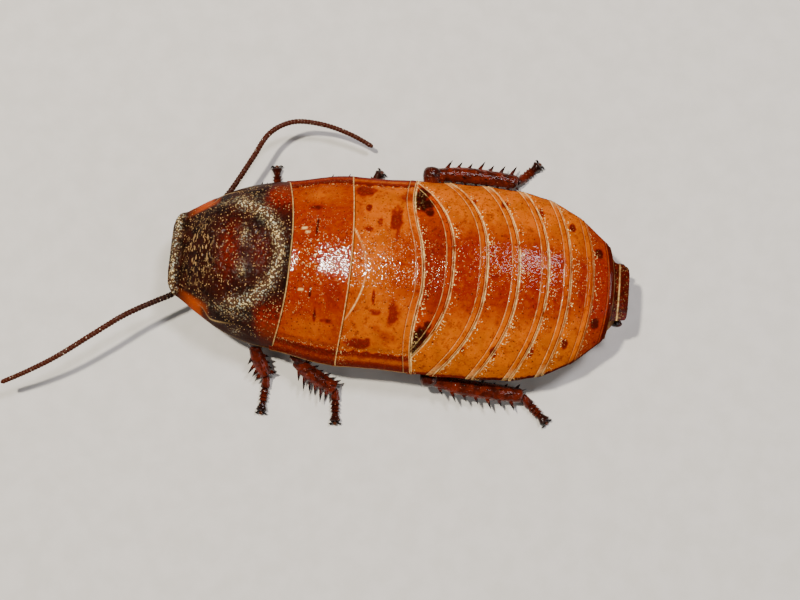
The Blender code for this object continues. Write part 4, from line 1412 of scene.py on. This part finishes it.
def soft_body():
    """A tube whose rings are bent to the body, full above and flat below."""
    stations = np.linspace(SKIN_START, SKIN_END, SKIN_RINGS)
    bm = bmesh.new()
    path = [spot(s, 0.0, 0.0) for s in stations]
    tube(bm, path, SKIN_SIDES, [(1.0, 1.0)] * len(path))
    turn = bm.verts.layers.float.get("turn")
    hole = bm.verts.layers.float.new("hole")
    for vertex in bm.verts:
        station = ORIGIN - vertex.co.x
        angle = vertex[turn]
        u, lift = math.cos(angle), math.sin(angle)
        side = SKIN_HALF(station)
        seam = min(margin(station), 0.5 * (SKIN_TOP(station) + SKIN_BOTTOM(station)))
        flank = abs(u) ** 0.85
        if lift > 0:
            height = seam + (SKIN_TOP(station) - seam) * max(0.0, 1.0 - flank**2.3) ** 0.75
        else:
            height = seam - (seam - SKIN_BOTTOM(station) - BELLY_GAP) * (1.0 - flank**2.6)
        across = side * math.copysign(flank, u)
        fold = SKIN_FOLDS * noise.noise(Vector((station * 1.3, across * 0.3, height * 0.8)))
        vertex.co = spot(station, across * (1.0 + fold / 12.0), height + fold * (1.0 - abs(u)))
        near = min(abs(station - s) for s in SPIRACLES)
        vertex[hole] = bell(near, 0.0, 0.3) * bell(height, seam - 0.4, 0.4) if abs(u) > 0.8 else 0.0
        vertex[hole] = max(vertex[hole], 0.7 * smooth((station - DARK_TAIL) / 0.5))
    return bm


piece("soft_body", soft_body(), body_skin, ("neck",))

# %% [markdown]
# ## Belly plates
# The underside has its own overlapping plates, flatter and plainer than the back's. They
# are bent from the same grid, turned over so that the outside faces down.

# %% The finish of the belly


def belly_finish():
    dark = colour(48, 22, 13)
    made = Finish("belly_chitin", coat=0.6, coat_roughness=0.15)
    mottle = made.noise(0.4, 3.0)
    grain = made.noise(3.0, 3.0)
    base = made.mix(made.ramp(mottle, 0.35, 0.65), colour(150, 84, 30), colour(108, 52, 22))
    base = made.mix(made.attribute("dark"), base, dark)
    base = made.mix(made.math("MULTIPLY", made.specks(1.2, 0.16, 0.4), 0.6), base, dark)
    base = made.mix(made.attribute("pale"), base, colour(206, 160, 98))
    normal = made.bump(grain, 0.04)
    return made.done(base, made.ramp(grain, 0.2, 0.8, 0.25, 0.45), normal)


belly_chitin = belly_finish()
print("belly finish made")

# %% Plates of the belly
# The first three belong to the thorax and lie edge to edge, and the others overlap
THORAX_STERNA = ("prosternum", "mesosternum", "metasternum")
BELLY_NODES = THORAX_STERNA + tuple(f"sternite_{number}" for number in range(2, 8))
STERNUM_STATIONS = (6.9, 16.8, 25.0, 34.4, 39.2, 43.4, 47.4, 51.0, 54.4, 60.0)
STERNUM_REACH = 0.9
STERNUM_BOW = 1.2
STERNUM_OVERLAP = 0.9
STERNUM_WALL = 0.15
BELLY_COLUMNS = 61


def belly_plate(front, rear, overlap):
    """A plate between two stations, bowed forward toward the margins."""

    def put(row, column):
        u = column[0]
        bow = STERNUM_BOW * u * u
        start, end = front - bow - overlap, rear - bow
        ahead = row[0] + (end - start - RIM_ZONE) * row[1]
        station = end - ahead
        across = half_width(station) * STERNUM_REACH * u
        share = (station - start) / (end - start)
        top = margin(station) + 0.1
        height = belly(station) + max(0.0, top - belly(station)) * abs(u) ** 3.4
        height += 0.22 * (1.0 - share) + 0.05 * rounded_off(ahead, 0.2)
        dark = 0.75 * bell(abs(u), 0.82, 0.1) + 0.3 * bell(abs(u), 0.0, 0.12)
        pale = 0.7 * bell(ahead, 0.06, 0.12)
        return spot(station, across, height), (dark, pale)

    places = [(place, 0) for place in toward_margins(BELLY_COLUMNS, crowding=0.97)]
    bm = bent_sheet(rows(8, 14), places, put, ("dark", "pale"))
    bmesh.ops.reverse_faces(bm, faces=bm.faces)
    return bm


for index, node in enumerate(BELLY_NODES):
    overlap = 0.0 if node in THORAX_STERNA else STERNUM_OVERLAP
    bm = belly_plate(STERNUM_STATIONS[index], STERNUM_STATIONS[index + 1], overlap)
    piece(f"belly_{node}", bm, belly_chitin, (node,), wall=STERNUM_WALL, closed=False)

# %% [markdown]
# ## The tail
# A small dark plate closes the back over the vent, and a short blunt feeler, the cercus,
# shows under each of its corners. The plate is one more bent sheet, with a formula of its
# own, since its sides run almost straight back.

# %% Tail plate
TAIL_START = 59.7
TAIL_END = 62.3
TAIL_HALF = 4.05
TAIL_HEIGHT = 8.75
TAIL_SLOPE = 1.15
TAIL_ARCH = 0.75
TAIL_FOLD = 0.6
TAIL_ROWS = 30


def tail_plate():
    """The plate from its hidden front to its rear edge, whose corners are rounded."""

    def put(row, column):
        share = 1.0 - row
        u, fold = column
        half = TAIL_HALF * (1.0 - 0.1 * share)
        notch = 0.02 + 0.12 * u**10 + 0.012 * noise.noise(Vector((u * 9.0, 0.0, 12.0)))
        station = TAIL_START + (TAIL_END - TAIL_START) * share * (1.0 - notch)
        height = TAIL_HEIGHT - TAIL_SLOPE * share - TAIL_ARCH * u * u * (1.0 - 0.4 * share)
        height -= 0.1 * rounded_off(1.0 - share, 0.08)
        across = half * u
        if fold:
            inward, down = FOLD[fold - 1]
            across -= math.copysign(inward * TAIL_FOLD, u)
            height -= down
        dark = 0.8 + 0.2 * noise.noise(Vector((station, across, 1.0)))
        torn = 0.8 + 0.6 * noise.noise(Vector((station, across, 8.0)) * 1.8)
        pale = torn * bell(station, 60.8, 0.08)
        # The marks: red, dark, cream line, a few painted glints and the gloss
        return spot(station, across, height), (0.5, dark, pale, 0.15, 0.8)

    row_list = [k / TAIL_ROWS for k in range(TAIL_ROWS + 1)]
    return bent_sheet(row_list, columns(61), put, PLATE_MARKS)


piece("tail_plate", tail_plate(), red_chitin, ("epiproct",), wall=PLATE_WALL, closed=False)

# %% Cerci
SIDES = (("left", 1), ("right", -1))
CERCUS = ((60.3, 3.5, 5.45), (60.9, 3.7, 5.5), (61.4, 3.9, 5.5), (61.9, 4.05, 5.55))
CERCUS_SIZE = ((0.0, 0.5), (0.3, 0.7), (0.65, 0.58), (0.9, 0.3), (1.0, 0.08))
CERCUS_FLAT = 0.85
for side, sign in SIDES:
    path = through([spot(station, sign * across, height) for station, across, height in CERCUS], 0.08)
    thick = profile(path, CERCUS_SIZE)
    bm = bmesh.new()
    tube(bm, path, 14, [(t, t * CERCUS_FLAT) for t in thick], {"tip": [0.7] * len(path)})
    piece(f"tail_feeler_{side}", bm, leg_chitin, (f"cercus_{side}",))

# %% [markdown]
# ## The head
# The head hangs under the hood with its face turned forward and down. It is a flattened
# ball that narrows to the mouth, with a pale ring round each feeler's root and a pale
# spot above it. A sphere is moved point by point, in the head's own three directions.

# %% The head's own directions
# Station and height of the middle of the head, and how far the face leans back
HEAD_CENTRE = (3.6, 4.55)
HEAD_LEAN = math.radians(25.0)


def on_head(across, depth, length):
    """Across, toward the face and toward the crown, from the middle of the head."""
    sine, cosine = math.sin(HEAD_LEAN), math.cos(HEAD_LEAN)
    station = HEAD_CENTRE[0] - cosine * depth - sine * length
    return spot(station, across, HEAD_CENTRE[1] - sine * depth + cosine * length)


def head_finish():
    made = Finish("head_chitin", coat=0.8, coat_roughness=0.12)
    grain = made.noise(3.0, 3.0)
    base = made.mix(made.ramp(made.noise(0.8, 2.0), 0.35, 0.65), colour(40, 20, 15), colour(78, 34, 20))
    base = made.mix(made.attribute("tan"), base, colour(186, 128, 74))
    normal = made.bump(grain, 0.06)
    return made.done(base, made.ramp(grain, 0.2, 0.8, 0.2, 0.4), normal)


head_chitin = head_finish()
print("head finish made")

# %% The head itself
# The feeler's socket and the pale spot: across, toward the crown, and radius
SOCKET = (2.1, 0.85, 0.62)
OCELLUS = (1.3, 1.5, 0.26)
HEAD_WIDE = 3.35
HEAD_WIDEST = 2.95
HEAD_DEEP = 1.9
HEAD_LONG = 2.8
# The head ends at this station, where the neck begins
HEAD_REAR = 5.2


def ring_at(place, side, long):
    """Distance from the middle of a round mark on both sides, as a share of its radius."""
    across, up, radius = place
    return math.hypot((abs(side) - across) / radius, (long - up) / radius)


def head_ball():
    """A sphere drawn out to the head, with sockets, ocelli and the seam above the lip."""
    bm = bmesh.new()
    bmesh.ops.create_uvsphere(bm, u_segments=96, v_segments=64, radius=1.0)
    tan = bm.verts.layers.float.new("tan")
    for vertex in bm.verts:
        across, depth, length = vertex.co
        taper = 0.84 + 0.24 * length - 0.12 * length * length
        side = max(-HEAD_WIDEST, min(HEAD_WIDEST, across * HEAD_WIDE * taper * 1.08))
        deep = depth * HEAD_DEEP * (0.9 + 0.1 * length)
        long = length * HEAD_LONG
        socket = ring_at(SOCKET, side, long)
        ocellus = ring_at(OCELLUS, side, long)
        if depth > 0:
            deep += 0.14 * bell(socket, 1.0, 0.35) - 0.2 * bell(socket, 0.0, 0.6)
            deep -= 0.1 * bell(long, -1.35, 0.12) * smooth((1.7 - abs(side)) / 0.3)
            lip = 0.3 * smooth((-1.4 - long) / 0.3)
            vertex[tan] = max(0.4 * bell(socket, 1.0, 0.3), 0.7 * bell(ocellus, 0.0, 0.8), lip)
        vertex.co = on_head(side, deep, long)
        vertex.co.x = max(vertex.co.x, ORIGIN - HEAD_REAR)
    bmesh.ops.remove_doubles(bm, verts=bm.verts, dist=0.0005)
    return bm


piece("head_capsule", head_ball(), head_chitin, ("head",))

# %% [markdown]
# ## Eyes
# Each eye is a dark kidney of many small lenses on the side of the head. The lenses are
# far too fine to model, so the cells of a Voronoi pattern give them as bump, and a full
# coat gives the shine.

# %% Eyes


def eye_finish():
    made = Finish("eye_lens", coat=1.0, coat_roughness=0.05)
    cells = made.tree.nodes.new("ShaderNodeTexVoronoi")
    cells.inputs["Scale"].default_value = 14.0 / MM
    made.feed(cells.inputs["Vector"], made.place)
    base = made.mix(made.ramp(made.noise(1.2), 0.35, 0.65), colour(16, 11, 10), colour(44, 26, 20))
    normal = made.bump(made.math("SUBTRACT", 1.0, cells.outputs["Distance"]), 0.02)
    return made.done(base, 0.18, normal)


eye_lens = eye_finish()
for side, sign in SIDES:
    bm = bmesh.new()
    bmesh.ops.create_uvsphere(bm, u_segments=48, v_segments=32, radius=1.0)
    for vertex in bm.verts:
        out, depth, length = vertex.co
        notch = 0.3 * bell(length, -0.1, 0.4) * max(0.0, depth)
        vertex.co = on_head(sign * (2.85 + 0.62 * out), 0.1 + 0.95 * (depth - notch), 0.95 + 1.45 * length)
    piece(f"compound_eye_{side}", bm, eye_lens, (f"eye_{side}",))

# %% [markdown]
# ## Mouthparts
# Under a small upper lip lie two mandibles, two maxillae and a lower lip with its short
# palps. They are rounded and soft in outline, so each is a short tube that swells and
# ends bluntly. Two long palps, in five parts, feel the ground beside them.

# %% Jaws and lip


def lump(bm, points, wide, deep, tan, sides):
    """A rounded part through some points of the head; tan says how pale it is."""
    path = through([on_head(*point) for point in points], 0.12)
    marks = [tan] * len(path)
    tube(bm, path, sides, list(zip(profile(path, wide), profile(path, deep))), {"tan": marks})


ROUND = ((0.0, 0.55), (0.3, 0.8), (0.7, 0.7), (0.93, 0.42), (1.0, 0.15))
FLAT = ((0.0, 0.35), (0.3, 0.42), (0.8, 0.3), (1.0, 0.1))
SHORT_PALP = ((0.0, 0.18), (0.3, 0.22), (0.45, 0.15), (0.6, 0.2), (0.9, 0.25), (1.0, 0.08))
# Each jaw part: its points, how wide and deep it is along them, its paleness and sides
JAWS = (
    (((0.95, -0.05, -2.2), (0.85, 0.0, -3.1), (0.3, 0.1, -3.8)), ROUND, FLAT, 0.0, 24),
    (((0.85, -0.6, -2.2), (0.75, -0.6, -3.2), (0.35, -0.4, -3.9)), ROUND, FLAT, 0.2, 24),
    (((0.6, -0.9, -3.2), (1.2, -0.8, -3.6), (1.2, -0.3, -4.0)), SHORT_PALP, SHORT_PALP, 0.2, 12),
)
bm = bmesh.new()
for sign in (-1, 1):
    for points, wide, deep, tan, sides in JAWS:
        mirrored = [(sign * across, depth, length) for across, depth, length in points]
        lump(bm, mirrored, wide, deep, tan, sides)
piece("jaws", bm, head_chitin, ("mouthparts",))
bm = bmesh.new()
LIP = ((0.0, 0.9, -2.3), (0.0, 0.95, -3.1), (0.0, 0.75, -3.85))
LIP_WIDE = ((0.0, 1.15), (0.4, 1.2), (0.8, 0.95), (0.95, 0.6), (1.0, 0.3))
LIP_DEEP = ((0.0, 0.22), (0.4, 0.3), (0.85, 0.24), (1.0, 0.08))
lump(bm, LIP, LIP_WIDE, LIP_DEEP, 0.12, 32)
piece("upper_lip", bm, head_chitin, ("labrum",))

# %% Long palps
PALP = (
    (4.9, 0.9, 2.3), (5.1, 1.75, 1.65), (4.5, 2.7, 1.45),
    (3.3, 3.15, 1.25), (2.2, 2.7, 1.05), (1.7, 2.3, 0.95),
)
PALP_JOINTS = (0.0, 0.16, 0.3, 0.55, 0.78, 1.0)
PALP_PARTS = len(PALP_JOINTS) - 1


def palp_radius(share):
    """Each segment widens from its joint, and the last one ends as a blunt club."""
    number = max(k for k in range(PALP_PARTS) if share >= PALP_JOINTS[k] - 1e-9)
    along = (share - PALP_JOINTS[number]) / (PALP_JOINTS[number + 1] - PALP_JOINTS[number])
    if number == PALP_PARTS - 1:
        club = 0.17 + 0.15 * smooth(along * 1.5)
        return club * math.sqrt(max(0.04, 1.0 - (max(0.0, along - 0.7) / 0.3) ** 2))
    return (0.2 + 0.08 * smooth(along * 1.6)) * (1.0 - 0.4 * smooth((along - 0.86) / 0.14))


for side, sign in SIDES:
    path = through([spot(station, sign * across, height) for station, across, height in PALP], 0.06)
    thick = [palp_radius(k / (len(path) - 1)) for k in range(len(path))]
    bm = bmesh.new()
    tube(bm, path, 14, [(t, t) for t in thick], {"outer": [0.8] * len(path), "gap": [0.0] * len(path)})
    piece(f"mouth_feeler_{side}", bm, feeler_chitin, (f"palp_{side}",))

# %% [markdown]
# ## Floor
# A plain pale floor keeps the attention on the animal. A single sheet is enough, wide
# enough that no view sees past it.

# %% Floor
FLOOR_SIZE = 1.5


def floor_finish():
    made = Finish("studio_floor", coat=0.0, specular=0.3)
    grain = made.noise(0.3, 2.0)
    base = made.mix(made.ramp(grain, 0.3, 0.7), colour(214, 210, 202), colour(220, 216, 209))
    return made.done(base, 0.8)


bm = bmesh.new()
bmesh.ops.create_grid(bm, x_segments=4, y_segments=4, size=FLOOR_SIZE)
mesh = bpy.data.meshes.new("studio_floor")
bm.to_mesh(mesh)
bm.free()
mesh.materials.append(floor_finish())
floor = bpy.data.objects.new("studio_floor", mesh)
bpy.context.scene.collection.objects.link(floor)
print("floor made")

# %% [markdown]
# ## Light
# The real animal lay in hard sun. A small key light high toward the head and the right
# side gives the same white glare on the varnish, and weak wide lights and a dim world
# keep the shaded flanks readable. Disks are used because their glare is round.

# %% Light
TARGET = Vector((-11.15, 3.3, 5.0)) * MM


def soft_light(name, direction, distance, size, power, tint):
    """A round light that looks at the animal from a direction, distance and size in metres."""
    data = bpy.data.lights.new(name, "AREA")
    data.shape = "DISK"
    data.size = size
    data.energy = power
    data.color = tint
    made = bpy.data.objects.new(name, data)
    bpy.context.scene.collection.objects.link(made)
    away = Vector(direction).normalized()
    made.location = TARGET + away * distance
    made.rotation_euler = away.to_track_quat("Z", "Y").to_euler()


soft_light("key", (0.345, -0.14, 0.93), 0.5, 0.036, 3.1, (1.0, 0.93, 0.81))
soft_light("fill_tail", (-0.9, 0.35, 0.42), 0.6, 0.35, 0.9, (0.93, 0.96, 1.0))
soft_light("fill_left", (0.35, 0.95, 0.38), 0.6, 0.35, 0.45, (1.0, 0.98, 0.95))
soft_light("fill_right", (0.5, -0.95, 0.4), 0.6, 0.35, 0.15, (0.95, 0.97, 1.0))
soft_light("sky", (-0.3, -0.36, 0.88), 0.5, 0.1, 1.5, (0.97, 0.93, 1.0))
world = bpy.data.worlds.new("studio")
bpy.context.scene.world = world
world.use_nodes = True
background = world.node_tree.nodes["Background"]
background.inputs["Color"].default_value = (0.9, 0.95, 1.0, 1.0)
background.inputs["Strength"].default_value = 0.07
print("lights made")

# %% [markdown]
# ## Camera
# The animal was seen from almost straight above, with its head to the left and its body
# turned a few degrees. Three directions that stand square to each other place the camera
# exactly: its right, its up and its back.

# %% Camera
TURN = math.radians(5.25)
LOOK = math.radians(81.0)
CAMERA_DISTANCE = 0.1667
data = bpy.data.cameras.new("camera")
data.lens = 55.0
data.sensor_width = 36.0
data.clip_start = 0.005
camera = bpy.data.objects.new("camera", data)
bpy.context.scene.collection.objects.link(camera)
right = Vector((-math.cos(TURN), -math.sin(TURN), 0.0))
toward = Vector((-math.sin(TURN), math.cos(TURN), 0.0)) * math.cos(LOOK) + UP * math.sin(LOOK)
upward = toward.cross(right)
place = Matrix((right, upward, toward)).transposed().to_4x4()
place.translation = TARGET + toward * CAMERA_DISTANCE
camera.matrix_world = place
bpy.context.scene.camera = camera
print("camera at", [round(value, 4) for value in place.translation])
